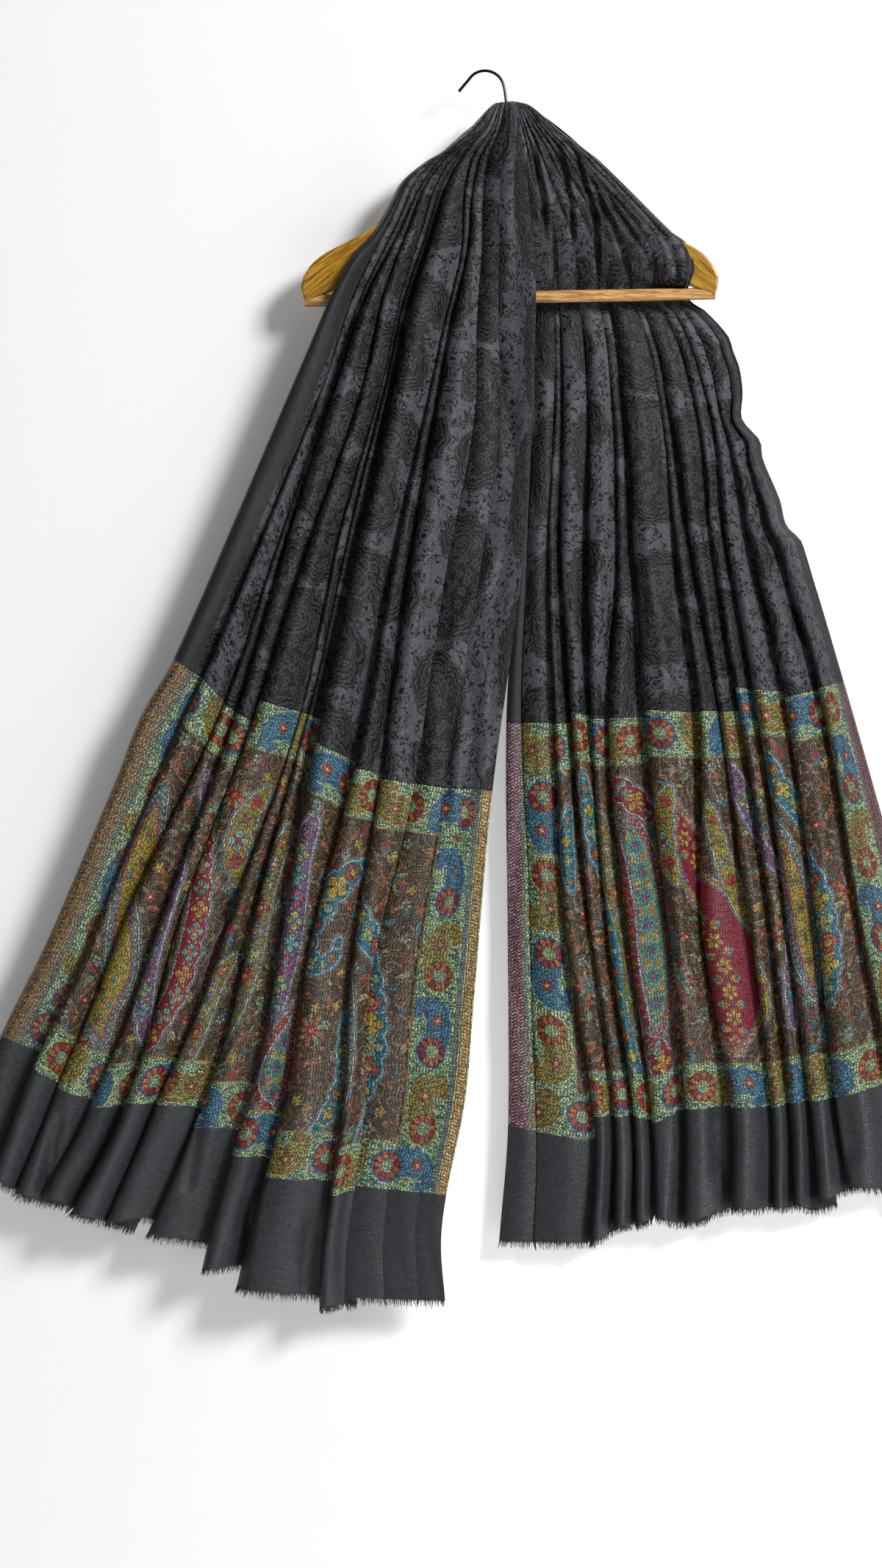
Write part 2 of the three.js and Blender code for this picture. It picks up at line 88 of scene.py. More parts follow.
LEFT_ROWS = [
    Row(-104, (-46, -84), (33, -86), 17.0, 0, 0.4, 0, 180),
    Row(-84, (-30, -66), (31, -64), 16.0, 0, 0.45, 0, 170),
    Row(-66, (-8, -47), (29, -45), 12.0, 0, 0.5, 0, 140),
    Row(-54, (6, -34.5), (28, -33), 6.0, 0, 0.6, 0, 100),
    Row(-46, (8, -30.5), (27.5, -28.8), -1.0, 0, 0.6, 0, 70),
    Row(-36, (1, -37.5), (28.5, -35.5), -8.0, 0, 0.6, 1, 25),
    Row(-22, (-14, -58), (31.5, -55), -11.5, 0, 0.6, 6, 0),
    Row(-9, (-36, -74), (34.5, -72), -11.5, 0, 0.6, 9, 0),
    Row(0, (-52, -84.6), (37, -84.6), -10.5, 0, 0.65, 11, 0),
    Row(40, (-79, -109), (42, -128), -9.0, 0, 0.7, 11, 0),
    Row(88, (-101.5, -143), (47.5, -184), -8.5, 0, 0.8, 11, 0),
    Row(160, (-140, -204), (47.5, -255.5), -8.5, 0, 0.9, 3, 0),
    Row(238, (-171.5, -274), (44, -334), -9.0, 0, 1, 0, 0),
    Row(388, (-231, -411), (34, -484), -8.0, 0, 1, 0, 0),
    Row(572, (-296, -561), (7, -686), -6.0, 0, 1, 0, 0),
    Row(767, (-380, -738), (-10, -878.5), -4.0, 0, 1, 0, 0),
    Row(870, (-421, -831), (-19, -981), -3.0, 0, 1, 0, 0),
    Row(962, (-462, -915), (-37, -1072), -2.0, 0, 1.05, 0, 0),
    Row(1010, (-479, -963), (-42, -1118), -1.0, 0, 1.1, 0, 0),
    Row(1072, (-500.5, -1025.5), (-38, -1173), 0.0, 0, 1.15, 0, 0),
]
RIGHT_ROWS = [
    Row(-104, (104, -84), (27, -86), 17.0, 0, 0.4, 0, 180),
    Row(-84, (86, -65), (27, -64), 16.0, 0, 0.45, 0, 170),
    Row(-66, (62, -45.5), (26.5, -45), 12.0, 0, 0.5, 0, 140),
    Row(-54, (46, -35.5), (26.5, -33), 6.0, 0, 0.6, 0, 100),
    Row(-46, (41, -31.5), (26, -28.4), -1.0, 0, 0.6, 0, 70),
    Row(-36, (50, -37.5), (27, -35), -7.0, 0, 0.6, 0, 25),
    Row(-22, (74, -57), (28, -55), -9.5, 0, 0.55, 0, 0),
    Row(-9, (97, -74), (29, -72), -9.5, 0, 0.5, 0, 0),
    Row(0, (111, -84.6), (29.5, -84.6), -9.0, 0, 0.42, 0, 0),
    Row(72, (169.5, -143), (36.5, -143.5), -8.5, 0, 0.3, 0, 0),
    Row(96, (186, -162), (38, -165), -8.5, 0.1, 0.26, 0, 0),
    Row(125, (193, -188), (39, -190), 0.0, 0.6, 0.25, 0, 0),
    Row(152, (195, -213), (40, -214.6), 8.4, 1, 0.3, 0, 0),
    Row(166, (206, -226), (39.5, -228), 8.4, 1, 0.4, 0, 0),
    Row(201, (228, -261), (37, -262), 8.4, 1, 0.5, 0, 0),
    Row(243, (246, -304), (35, -300), 8.4, 1, 0.6, 0, 0),
    Row(291, (265, -350), (33, -345), 8.4, 1, 0.68, 0, 0),
    Row(354, (286, -407), (31.5, -407), 8.2, 1, 0.78, 0, 0),
    Row(446, (316, -487), (28, -500), 8.0, 0.85, 0.9, 0, 0),
    Row(554, (345, -581), (21, -621.5), 8.0, 0.7, 1, 0, 0),
    Row(751, (399, -770.5), (22, -818.5), 8.0, 0.6, 1, 0, 0),
    Row(948, (455, -960.5), (22.5, -1015.5), 8.0, 0.5, 1.05, 0, 0),
    Row(1060, (488, -1067), (14, -1129), 8.0, 0.5, 1.2, 0, 0),
]

# depth is how far a pleat stands out, cloth the width of cloth from its fold to the next
# pleat's fold, and edge where its fold crosses the rows of its half's edge runs, as a share of
# the row. sag is how far its face lies above the straight row, at its fold and at its far side:
# at the panel's top, at the panel's foot and at the hem.
Pleat = namedtuple("Pleat", "name depth cloth sag edge")
LEFT_EDGE_RUNS = (0, 88, 160, 238, 388, 572, 767, 962, 1072)
RIGHT_EDGE_RUNS = (0, 72, 152, 264, 408, 554, 751, 948, 1060)
SAG_ROWS = (5, 7, 8)  # which of the edge runs sag speaks of

LEFT_PLEATS = [
    Pleat("selvedge", 9, 84, (0, -8, -4, -6, 0, -12),
          (0, 0, 0, 0, 0, 0, 0, 0, 0)),
    Pleat("first", 14, 60, (-8, -22, -21, -30, -16, -25),
          (0.045, 0.07, 0.09, 0.11, 0.103, 0.095, 0.08, 0.079, 0.071)),
    Pleat("second", 11, 74, (-23, -27, -34, -34, -25, -27),
          (0.085, 0.105, 0.115, 0.132, 0.15, 0.159, 0.127, 0.132, 0.115)),
    Pleat("third", 12, 84, (-27, -29, -41, -26, -17, -25),
          (0.125, 0.14, 0.145, 0.156, 0.174, 0.195, 0.205, 0.201, 0.168)),
    Pleat("fourth", 15, 100, (-6, -1, -22, -14, -25, -26),
          (0.17, 0.2, 0.235, 0.27, 0.269, 0.27, 0.261, 0.284, 0.231)),
    Pleat("fifth", 13, 100, (-1, 0, -14, -3, -26, -9),
          (0.24, 0.27, 0.31, 0.346, 0.36, 0.395, 0.385, 0.35, 0.3)),
    Pleat("sixth", 12, 108, (0, 0, -24, -10, -24, -17),
          (0.29, 0.31, 0.34, 0.37, 0.386, 0.422, 0.435, 0.431, 0.39)),
    Pleat("seventh", 15, 94, (-23, -27, -36, -26, -40, -27),
          (0.34, 0.355, 0.37, 0.394, 0.412, 0.45, 0.497, 0.52, 0.505)),
    Pleat("eighth", 15, 124, (-33, -27, -44, -26, -48, -33),
          (0.45, 0.53, 0.54, 0.542, 0.541, 0.568, 0.566, 0.596, 0.576)),
    Pleat("ninth", 12, 54, (-33, -24, -40, -28, -42, -33),
          (0.53, 0.58, 0.585, 0.589, 0.599, 0.654, 0.677, 0.743, 0.744)),
    Pleat("tenth", 4, 36, (-24, -17, -24, -15, -27, -17),
          (0.62, 0.66, 0.7, 0.75, 0.728, 0.757, 0.73, 0.79, 0.79)),
    Pleat("eleventh", 1.6, 34, (-17, -10, -15, -7, -17, -8),
          (0.76, 0.756, 0.81, 0.86, 0.85, 0.843, 0.84, 0.87, 0.87)),
    Pleat("twelfth", 1.2, 32, (-10, 0, -7, 0, -8, 0),
          (0.88, 0.868, 0.91, 0.93, 0.925, 0.912, 0.92, 0.94, 0.94)),
]
RIGHT_PLEATS = [
    Pleat("selvedge", 3, 22, (0, -2, 8, -2, 10, 5),
          (0, 0, 0, 0, 0, 0, 0, 0, 0)),
    Pleat("first", 7, 116, (-2, -6, -2, -18, 5, -2),
          (0.07, 0.058, 0.055, 0.06, 0.045, 0.05, 0.06, 0.07, 0.07)),
    Pleat("second", 14, 62, (-7, -7, 7, 5, 0, 8),
          (0.15, 0.15, 0.155, 0.15, 0.114, 0.14, 0.147, 0.19, 0.183)),
    Pleat("third", 12, 64, (3, -3, 4, 3, 14, 11),
          (0.22, 0.215, 0.205, 0.19, 0.155, 0.19, 0.208, 0.232, 0.23)),
    Pleat("fourth", 13, 68, (-6, -8, 3, -5, 11, 16),
          (0.31, 0.31, 0.31, 0.3, 0.254, 0.245, 0.255, 0.274, 0.275)),
    Pleat("fifth", 13, 82, (-8, -11, -7, 3, 17, 4),
          (0.41, 0.43, 0.43, 0.41, 0.355, 0.3, 0.305, 0.316, 0.318)),
    Pleat("sixth", 15, 100, (-4, -13, 3, 0, 8, 14),
          (0.5, 0.53, 0.5, 0.46, 0.41, 0.41, 0.4, 0.392, 0.377)),
    Pleat("seventh", 15, 96, (-12, -14, 0, -6, 16, 10),
          (0.6, 0.64, 0.64, 0.615, 0.568, 0.57, 0.488, 0.495, 0.47)),
    Pleat("eighth", 13, 76, (-15, -16, -6, -5, 12, 7),
          (0.68, 0.72, 0.7, 0.665, 0.62, 0.634, 0.607, 0.586, 0.554)),
    Pleat("ninth", 12, 72, (7, 2, -4, -5, 12, 0),
          (0.76, 0.79, 0.79, 0.765, 0.69, 0.68, 0.657, 0.627, 0.594)),
    Pleat("tenth", 12, 78, (2, -3, -5, -5, 11, 18),
          (0.83, 0.85, 0.85, 0.83, 0.745, 0.727, 0.703, 0.668, 0.64)),
    Pleat("eleventh", 14, 84, (-9, -5, -4, 3, 22, 9),
          (0.89, 0.91, 0.91, 0.89, 0.83, 0.82, 0.78, 0.72, 0.7)),
    Pleat("twelfth", 12, 80, (-4, 0, 3, 0, 9, 4),
          (0.95, 0.96, 0.96, 0.95, 0.92, 0.92, 0.88, 0.84, 0.82)),
]

# The section of one pleat: where its control points lie. across counts in widths of the
# pleat, under in lengths of the part hidden below the next pleat, out in depths of this pleat
# and out_next in depths of the next one. face goes from 0 at the fold to 1 at the face's far
# side, and follow from 0 there to 1 at the next fold. calm stands for out where the pleat is
# only a soft wave.
Bend = namedtuple("Bend", "across under out out_next face follow calm")
PLEAT_SECTION = [
    Bend(-0.05, 0, 0.4, 0, 0, 0, 0.3),  # the fold's lip
    Bend(0.05, 0, 0.98, 0, 0.05, 0, 0.46),
    Bend(0.32, 0, 1.08, 0, 0.32, 0, 1),
    Bend(0.65, 0, 0.68, 0, 0.65, 0, 0.9),
    Bend(0.93, 0, 0.14, 0, 0.93, 0, 0.4),
    Bend(1, 0.7, 0, 0, 1, 0.1, 0.28),  # the tuck below the next pleat
    Bend(1, 1.08, 0, 0.08, 1, 0.5, 0.2),
    Bend(1, 0.4, 0, 0.22, 1, 0.9, 0.1),
]
SPAN_SEEN = 5  # how many of those points show
SOFT_BELOW = 8  # pleats that stand out less than this are only soft waves
# How calm the pleats lie: run, share.
LEFT_CALM = [(-104, 0), (1072, 0)]
RIGHT_CALM = [(-104, 0), (0, 0.1), (45, 0.75), (80, 0.95), (150, 0.95), (200, 0.5), (300, 0), (1060, 0)]
# How far the outer edge strays from the straight ends of the rows: run, millimetres outwards.
LEFT_STRAY = [
    (-104, 0), (-40, 0), (-18, 6), (-6, 2), (0, 4), (30, 5), (60, 1), (90, 0), (572, 0), (632, 6), (700, 1),
    (800, -2), (1072, 0),
]
RIGHT_STRAY = [
    (-104, 0), (84, 0), (96, 6), (125, 6), (146, 0), (156, 0), (166, 6), (190, 12), (204, 9), (220, 8), (243, 2),
    (268, -9), (282, -4), (291, 0), (309, -4), (354, -2), (382, -5), (397, 3), (412, 3), (446, 1), (554, 0),
    (1060, 0),
]
MOST_UNDER = 0.75  # the hidden part is never longer than this share of the next pleat
FACE_LENGTH = 1.08  # cloth in a pleat's face, for each unit of its width
DEPTH_TO_WIDTH = 0.7  # no pleat stands out further than this share of its width
DEEPER = 1.2  # every pleat's depth is multiplied by this
DEPTH_UNEVEN = 0.13  # how much a pleat's depth comes and goes along it
FOLD_WANDER = 0.0035  # how far folds wander beside their lines, as a share of the row
DEEPEST = 13  # how far back pleats of full swell are set where lean is 1
STRAY_SIDE = 0.16  # the share of the row, from its outer side, that strays with the edge
ROLLED_RUNS = (95, 130)  # between these runs the outer side stops rolling back
ROLLED_TO = 3  # the y that it rolls back to
RIBS_FULL = 260  # the run from which the ribs have their full height
STEPS = 3  # points for each span of the section

Crease = namedtuple("Crease", "points height width")

# Hanger and hook, as in the frame.
NECK = (21, -49)
TILT = math.radians(1.0)
ARM_FOOT = [
    (177, -160), (168.7, -156.4), (160, -147), (138, -127), (85, -86), (40, -51), (14, -38), (0, -36),
]
BAR_DROP = 166
BEFORE_ARM, BEHIND_BAR = -8.5, 8.4  # where the cloth passes them, in y


def mix(a, b, t):
    return a + (b - a) * t


def smoothstep(value, low, high):
    t = np.clip((value - low) / (high - low), 0, 1)
    return t * t * (3 - 2 * t)


def along(at, values, t):
    """A smooth curve through (at, values), read at every t."""
    at, values, t = (np.asarray(x, float) for x in (at, values, t))
    last = len(at) - 1
    slope = np.array([
        (values[min(last, k + 1)] - values[max(0, k - 1)]) / (at[min(last, k + 1)] - at[max(0, k - 1)])
        for k in range(last + 1)
    ])
    t = np.clip(t, at[0], at[last])
    i = np.clip(np.searchsorted(at, t, side="right") - 1, 0, last - 1)
    step = at[i + 1] - at[i]
    u = (t - at[i]) / step
    level = (1 + 2 * u) * (1 - u) ** 2 * values[i] + u * u * (3 - 2 * u) * values[i + 1]
    return level + step * (u * (1 - u) ** 2 * slope[i] - u * u * (1 - u) * slope[i + 1])


def hanger_point(x, z):
    return (
        NECK[0] + x * math.cos(TILT) - z * math.sin(TILT),
        NECK[1] + x * math.sin(TILT) + z * math.cos(TILT),
    )


def arm_foot_height(x):
    foot = sorted(hanger_point(*p) for p in ARM_FOOT)
    return np.interp(x, [p[0] for p in foot], [p[1] for p in foot])


def bar_height(x):
    bx, bz = hanger_point(0, -BAR_DROP)
    return bz + (x - bx) * math.tan(TILT)


def spline_weights(count, steps):
    """Weights of a uniform cubic B-spline's control points, one row for each point on it."""
    rows = []
    for span in range(count - 3):
        for k in range(steps):
            u = k / steps
            row = np.zeros(count)
            row[span:span + 4] = (
                (1 - u) ** 3 / 6,
                (3 * u ** 3 - 6 * u * u + 4) / 6,
                (-3 * u ** 3 + 3 * u * u + 3 * u + 1) / 6,
                u ** 3 / 6,
            )
            rows.append(row)
    end = np.zeros(count)
    end[-3:] = (1 / 6, 4 / 6, 1 / 6)
    rows.append(end)
    return np.array(rows)


class Half:
    """One half of the shawl: where its cloth lies, from the crown to the hem."""

    def __init__(self, rows, pleats, edge_runs, from_inner, stray, calm, creases, ribs, seed):
        self.rows, self.pleats, self.edge_runs, self.from_inner = rows, pleats, edge_runs, from_inner
        self.stray, self.calm, self.creases, self.ribs, self.seed = stray, calm, creases, ribs, seed

    def read(self, runs, pick):
        return along([row.run for row in self.rows], [pick(row) for row in self.rows], runs)

    def folds(self, runs):
        """Where every fold crosses every row, as a share of the row."""
        folds = [along(self.edge_runs, pleat.edge, runs) for pleat in self.pleats]
        for i in range(1, len(folds)):
            wander = np.sin(runs / (61 + 7 * (i % 4)) + 2.3 * i + self.seed)
            folds[i] = folds[i] + FOLD_WANDER * wander
        return np.stack([*folds, np.ones_like(runs)], axis=1)

    def section(self, runs, width):
        """Control points of every row: distance along it, how far out, and drop."""
        folds = self.folds(runs) * width[:, None]
        wide = np.diff(folds, axis=1)
        swell = np.clip(self.read(runs, lambda row: row.swell), 0.05, 2)
        deep = []
        for i, pleat in enumerate(self.pleats):
            uneven = 1 + DEPTH_UNEVEN * np.sin(runs / (83 - 5 * (i % 3)) + 1.7 * i + self.seed)
            deep.append(swell * uneven * np.minimum(DEEPER * pleat.depth, DEPTH_TO_WIDTH * wide[:, i]))
        across, out, drop = [], [], []
        at = [0, *(self.edge_runs[k] for k in SAG_ROWS)]
        near, far = ([along(at, [0, *pleat.sag[k::2]], runs) for pleat in self.pleats] for k in (0, 1))
        last = len(self.pleats) - 1
        calm = along([at for at, _ in self.calm], [by for _, by in self.calm], runs)
        for i, pleat in enumerate(self.pleats):
            following = min(i + 1, last)
            soft = np.maximum(calm, float(pleat.depth < SOFT_BELOW))
            spare = np.maximum(0, (pleat.cloth - FACE_LENGTH * wide[:, i]) / 2)
            under = np.minimum(MOST_UNDER * wide[:, following], spare) * (1 - 0.85 * soft)
            for bend in PLEAT_SECTION[:SPAN_SEEN] if i == last else PLEAT_SECTION:
                across.append(folds[:, i] + bend.across * wide[:, i] + bend.under * under)
                out.append(mix(bend.out, bend.calm, soft) * deep[i] + bend.out_next * deep[following])
                drop.append(mix(mix(near[i], far[i], bend.face), near[following], bend.follow))
        across[0] = np.zeros_like(runs)
        ends = (across, out, drop)
        for values in ends:
            values[:0] = [values[0]] * 2
            values += [values[-1]] * 2
        across[-3:] = [width] * 3
        return (np.stack(values, axis=1) for values in ends)

    def cloth_across(self, flat_points):
        """How far into the cloth each point of each row lies, from its first selvedge."""
        steps = np.linalg.norm(np.diff(flat_points, axis=1), axis=2)
        length = np.concatenate([np.zeros((len(steps), 1)), np.cumsum(steps, axis=1)], axis=1)
        across = np.zeros_like(length)
        start = 0.0
        spans = len(PLEAT_SECTION) * STEPS
        for i, pleat in enumerate(self.pleats):
            first = 0 if i == 0 else i * spans + STEPS
            last = length.shape[1] - 1 if i == len(self.pleats) - 1 else (i + 1) * spans + STEPS
            seen = min(first + SPAN_SEEN * STEPS, last)
            bare = length[:, first:last + 1] - length[:, first:first + 1]
            shown = bare[:, seen - first:seen - first + 1]
            fit = np.minimum(1, 0.96 * pleat.cloth / shown)
            if last == length.shape[1] - 1:
                fit = pleat.cloth / bare[:, -1:]
            face = bare * fit
            rest = np.maximum(bare[:, -1:] - shown, 1e-6)
            hidden = shown * fit + (pleat.cloth - shown * fit) * (bare - shown) / rest
            across[:, first:last + 1] = start + np.where(bare <= shown, face, hidden)
            start += pleat.cloth
        return across * (CLOTH_WIDE / start)

    def plane(self, x, z, row_y, row_lean):
        """The y that the pleats touch at each point, how they lean and how full they are."""
        return row_y[:, None] + 0 * x, row_lean[:, None] + 0 * x, np.ones_like(x)

    def surface(self, runs):
        """Every point of the cloth on every row, and how far into the cloth it lies."""
        runs = np.asarray(runs, float)
        ends = {}
        for name in ("outer", "inner"):
            ends[name] = np.stack(
                [self.read(runs, lambda row, k=k: getattr(row, name)[k]) for k in (0, 1)], axis=1)
        first, second = (ends["inner"], ends["outer"]) if self.from_inner else (ends["outer"], ends["inner"])
        width = np.linalg.norm(second - first, axis=1)
        across, out, drop = self.section(runs, width)
        weights = spline_weights(across.shape[1], STEPS).T
        across, out, drop = across @ weights, out @ weights, drop @ weights
        share = np.clip(across / width[:, None], 0, 1)
        inwards = 1 - share if self.from_inner else share
        x = mix(first[:, :1], second[:, :1], share)
        outwards = 1 if self.from_inner else -1
        stray = along([at for at, _ in self.stray], [by for _, by in self.stray], runs)
        x = x + outwards * stray[:, None] * (1 - smoothstep(inwards, 0, STRAY_SIDE))
        z = mix(first[:, 1:], second[:, 1:], share) + drop
        row_y = self.read(runs, lambda row: row.y)
        row_lean = np.clip(self.read(runs, lambda row: row.lean), 0, 1)
        base, lean, fill = self.plane(x, z, row_y, row_lean)
        lap = self.read(runs, lambda row: row.lap)[:, None]
        turn = np.radians(self.read(runs, lambda row: row.turn))[:, None]
        deepest = DEEPEST * self.read(runs, lambda row: row.swell)[:, None]
        y = base + lean * fill * deepest - lap * smoothstep(inwards, 0.5, 0.84)
        y = y - fill * out * np.cos(turn)
        z = z + fill * out * np.sin(turn)
        rolled = 1 - smoothstep(runs, *ROLLED_RUNS)[:, None]
        edge = 1 - np.clip(inwards / mix(0.16, 0.06, smoothstep(runs, -30, 30))[:, None], 0, 1)
        y = mix(y, ROLLED_TO, rolled * edge ** 2)
        for crease in self.creases:
            y = y - crease_height(crease, x, z)
        into = self.cloth_across(np.stack([across, out], axis=2))
        y = y - self.rib_height(into, runs[:, None]) * smoothstep(runs, 0, RIBS_FULL)[:, None]
        return np.stack([x, y, z], axis=2), into

    def rib_height(self, into, runs):
        """Soft uneven ribs that run down the faces, beside the pleats."""
        sway = into + 9 * np.sin(runs / 120 + self.seed) + 5 * np.sin(runs / 47 + 2 * self.seed)
        ribs = np.sin(sway / 3.9) * np.sin(sway / 13.7 + 1.1) + 0.6 * np.sin(sway / 6.3 + runs / 210)
        return self.ribs * ribs * (0.65 + 0.35 * np.sin(runs / 95 + into / 70))


def crease_height(crease, x, z):
    """How far a crease lifts the cloth at each point; it fades out at both its ends."""
    line = np.asarray(crease.points, float)
    best = np.full(x.shape, np.inf)
    best_at = np.zeros(x.shape)
    lengths = np.linalg.norm(np.diff(line, axis=0), axis=1)
    total, done = lengths.sum(), 0.0
    for (ax, az), (bx, bz), length in zip(line[:-1], line[1:], lengths):
        t = np.clip(((x - ax) * (bx - ax) + (z - az) * (bz - az)) / length ** 2, 0, 1)
        away = np.hypot(x - mix(ax, bx, t), z - mix(az, bz, t))
        nearer = away < best
        best = np.where(nearer, away, best)
        best_at = np.where(nearer, (done + t * length) / total, best_at)
        done += length
    fade = smoothstep(best_at, 0, 0.25) * (1 - smoothstep(best_at, 0.75, 1))
    return crease.height * fade * np.exp(-(best / crease.width) ** 2)


class RightHalf(Half):
    """The right half goes behind the hanger's bar."""

    def plane(self, x, z, row_y, row_lean):
        centre = bar_height(x)
        foot = arm_foot_height(x) - 3
        above = z - centre
        slant = 1 - smoothstep(z, centre, np.maximum(foot, centre + 1))
        rounded = np.sqrt(np.maximum(BEHIND_BAR ** 2 - above ** 2, 0))
        rounded = np.where(above < BEHIND_BAR, rounded, BEFORE_ARM)
        near = (above > 0) & (z < foot + 40)
        y = np.where(near, np.maximum(mix(BEFORE_ARM, BEHIND_BAR, slant), rounded), row_y[:, None])
        y = np.where((above > 0) & (z >= foot), mix(row_y[:, None], BEFORE_ARM, smoothstep(-z, 90, 120)), y)
        room = np.clip((foot - centre - 6) / 34, 0.08, 1)
        crossing = 4 * slant * (1 - slant)
        fill = mix(1, 0.35, crossing) * mix(1, room, np.minimum(1, 2 * slant))
        fill = np.where(near, fill, 1)
        lean = np.where(near, slant, np.where(above > 0, 0, row_lean[:, None]))
        return y, lean, fill


LEFT_CREASES = [
    Crease([(4, -250), (14, -288), (22, -321), (25, -380)], -5, 8),
    Crease([(-6, -262), (-14, -325), (-21, -430)], 3, 20),
    Crease([(40, -452), (11, -468), (-18, -517), (-32, -545), (-48, -584)], 3.5, 7),
    Crease([(-49, -545), (-51, -640), (-52, -730)], 3, 7),
    Crease([(-25, -540), (-26, -640), (-28, -740)], 3, 7),
    Crease([(-2, -540), (-2, -640), (-5, -740)], 2.5, 6),
    Crease([(-262, -730), (-245, -795), (-226, -870)], -5, 8),
    Crease([(-402, -985), (-412, -1025), (-424, -1080)], -6, 6),
    Crease([(-266, -975), (-276, -1030), (-286, -1080)], -5, 6),
    Crease([(-222, -1070), (-228, -1115), (-236, -1170)], -5, 6),
    Crease([(-164, -1080), (-169, -1130), (-172, -1190)], -5, 7),
]
RIGHT_CREASES = [
    Crease([(44, -62), (50, -97), (55, -125), (58, -160)], -3.2, 3),
    Crease([(49, -66), (55, -97), (60, -125), (62, -150)], 2.6, 3.5),
    Crease([(64, -66), (74, -92), (81, -130), (85, -172)], -3, 3),
    Crease([(70, -66), (79, -90), (86, -128), (89, -165)], 2.4, 3.5),
    Crease([(76, -66), (87, -84), (105, -141), (107, -172), (109, -208)], -3.4, 2.6),
    Crease([(80, -66), (91, -84), (109, -139), (111.5, -172), (113, -208)], 3, 2.8),
    Crease([(92, -88), (109, -124), (129, -168), (142, -206)], -2.6, 2.6),
    Crease([(96, -88), (113, -122), (133, -166), (146, -206)], 2, 3),
    Crease([(104, -96), (122, -130), (153, -176), (164, -207)], -2.2, 2.4),
    Crease([(64, -142), (65, -165), (67, -207)], -1.6, 2.4),
    Crease([(150, -132), (176, -172), (184, -204)], -1.6, 2.4),
    Crease([(222, -975), (223, -1020), (225, -1070)], -5, 6),
    Crease([(340, -965), (347, -1000), (352, -1050)], -5, 6),
    Crease([(262, -552), (300, -546), (346, -534)], 2.2, 2.5),
    Crease([(160, -583), (185, -579), (208, -575)], 1.8, 2.5),
    Crease([(60, -300), (64, -480), (66, -700), (70, -1000)], 3, 5),
    Crease([(140, -330), (170, -560), (186, -800), (196, -1050)], 3, 6),
]
LEFT = Half(LEFT_ROWS, LEFT_PLEATS, LEFT_EDGE_RUNS, False, LEFT_STRAY, LEFT_CALM, LEFT_CREASES, 0.7, 0.4)
RIGHT = RightHalf(
    RIGHT_ROWS, RIGHT_PLEATS, RIGHT_EDGE_RUNS, True, RIGHT_STRAY, RIGHT_CALM, RIGHT_CREASES, 1.2, 1.9)


# ---- making meshes -----------------------------------------------------------------------

def link(name, bm, material):
    """Makes a smooth object of a bmesh and puts it in the scene."""
    mesh = bpy.data.meshes.new(name)
    bm.to_mesh(mesh)
    bm.free()
    mesh.polygons.foreach_set("use_smooth", [True] * len(mesh.polygons))
    piece = bpy.data.objects.new(name, mesh)
    mesh.materials.append(material)
    bpy.context.scene.collection.objects.link(piece)
    return piece


def grid_piece(name, points, across, runs, material, thick):
    """A sheet of cloth on a grid of points, with its place in the cloth as its UV map."""
    rows, columns = points.shape[:2]
    bm = bmesh.new()
    bmesh.ops.create_grid(bm, x_segments=columns - 1, y_segments=rows - 1, size=0.5)
    places = np.array([v.co for v in bm.verts])
    column = np.rint((places[:, 0] + 0.5) * (columns - 1)).astype(int)
    row = np.rint((0.5 - places[:, 1]) * (rows - 1)).astype(int)
    for vert, r, c in zip(bm.verts, row, column):
        vert.co = points[r, c] * MM
    piece = link(name, bm, material)
    corner = np.zeros(len(piece.data.loops), int)
    piece.data.loops.foreach_get("vertex_index", corner)
    flat = np.stack([across[row, column], np.asarray(runs)[row]], axis=1) * MM
    layer = piece.data.uv_layers.new(name="cloth")
    layer.data.foreach_set("uv", flat[corner].astype(np.float32).ravel())
    solid = piece.modifiers.new("thickness", "SOLIDIFY")
    solid.thickness = thick
    solid.offset = 0
    return piece, flat / MM


def stretch_runs(start, end, spacing, beside=0.8):
    """Even rows, with one more close to each end so that neighbours shade alike there."""
    even = np.linspace(start, end, max(3, round(abs(end - start) / spacing) + 1))
    return np.sort(np.concatenate([even, [start + beside, end - beside]]))


# ---- materials ---------------------------------------------------------------------------

def rgb(code):
    """A colour code such as 6d8f6b as linear red, green, blue and alpha."""
    parts = [int(code[i:i + 2], 16) / 255 for i in (0, 2, 4)]
    return tuple(((p + 0.055) / 1.055) ** 2.4 if p > 0.04045 else p / 12.92 for p in parts) + (1.0,)


class Number:
    """A value in a material's nodes that formulas can be written with."""

    def __init__(self, pen, socket):
        self.pen, self.socket = pen, socket

    def __add__(self, other):
        return self.pen.maths("ADD", self, other)

    __radd__ = __add__

    def __sub__(self, other):
        return self.pen.maths("SUBTRACT", self, other)

    def __rsub__(self, other):
        return self.pen.maths("SUBTRACT", other, self)

    def __mul__(self, other):
        return self.pen.maths("MULTIPLY", self, other)

    __rmul__ = __mul__

    def __truediv__(self, other):
        return self.pen.maths("DIVIDE", self, other)

    def __neg__(self):
        return self.pen.maths("MULTIPLY", self, -1.0)

    def __abs__(self):
        return self.pen.maths("ABSOLUTE", self)


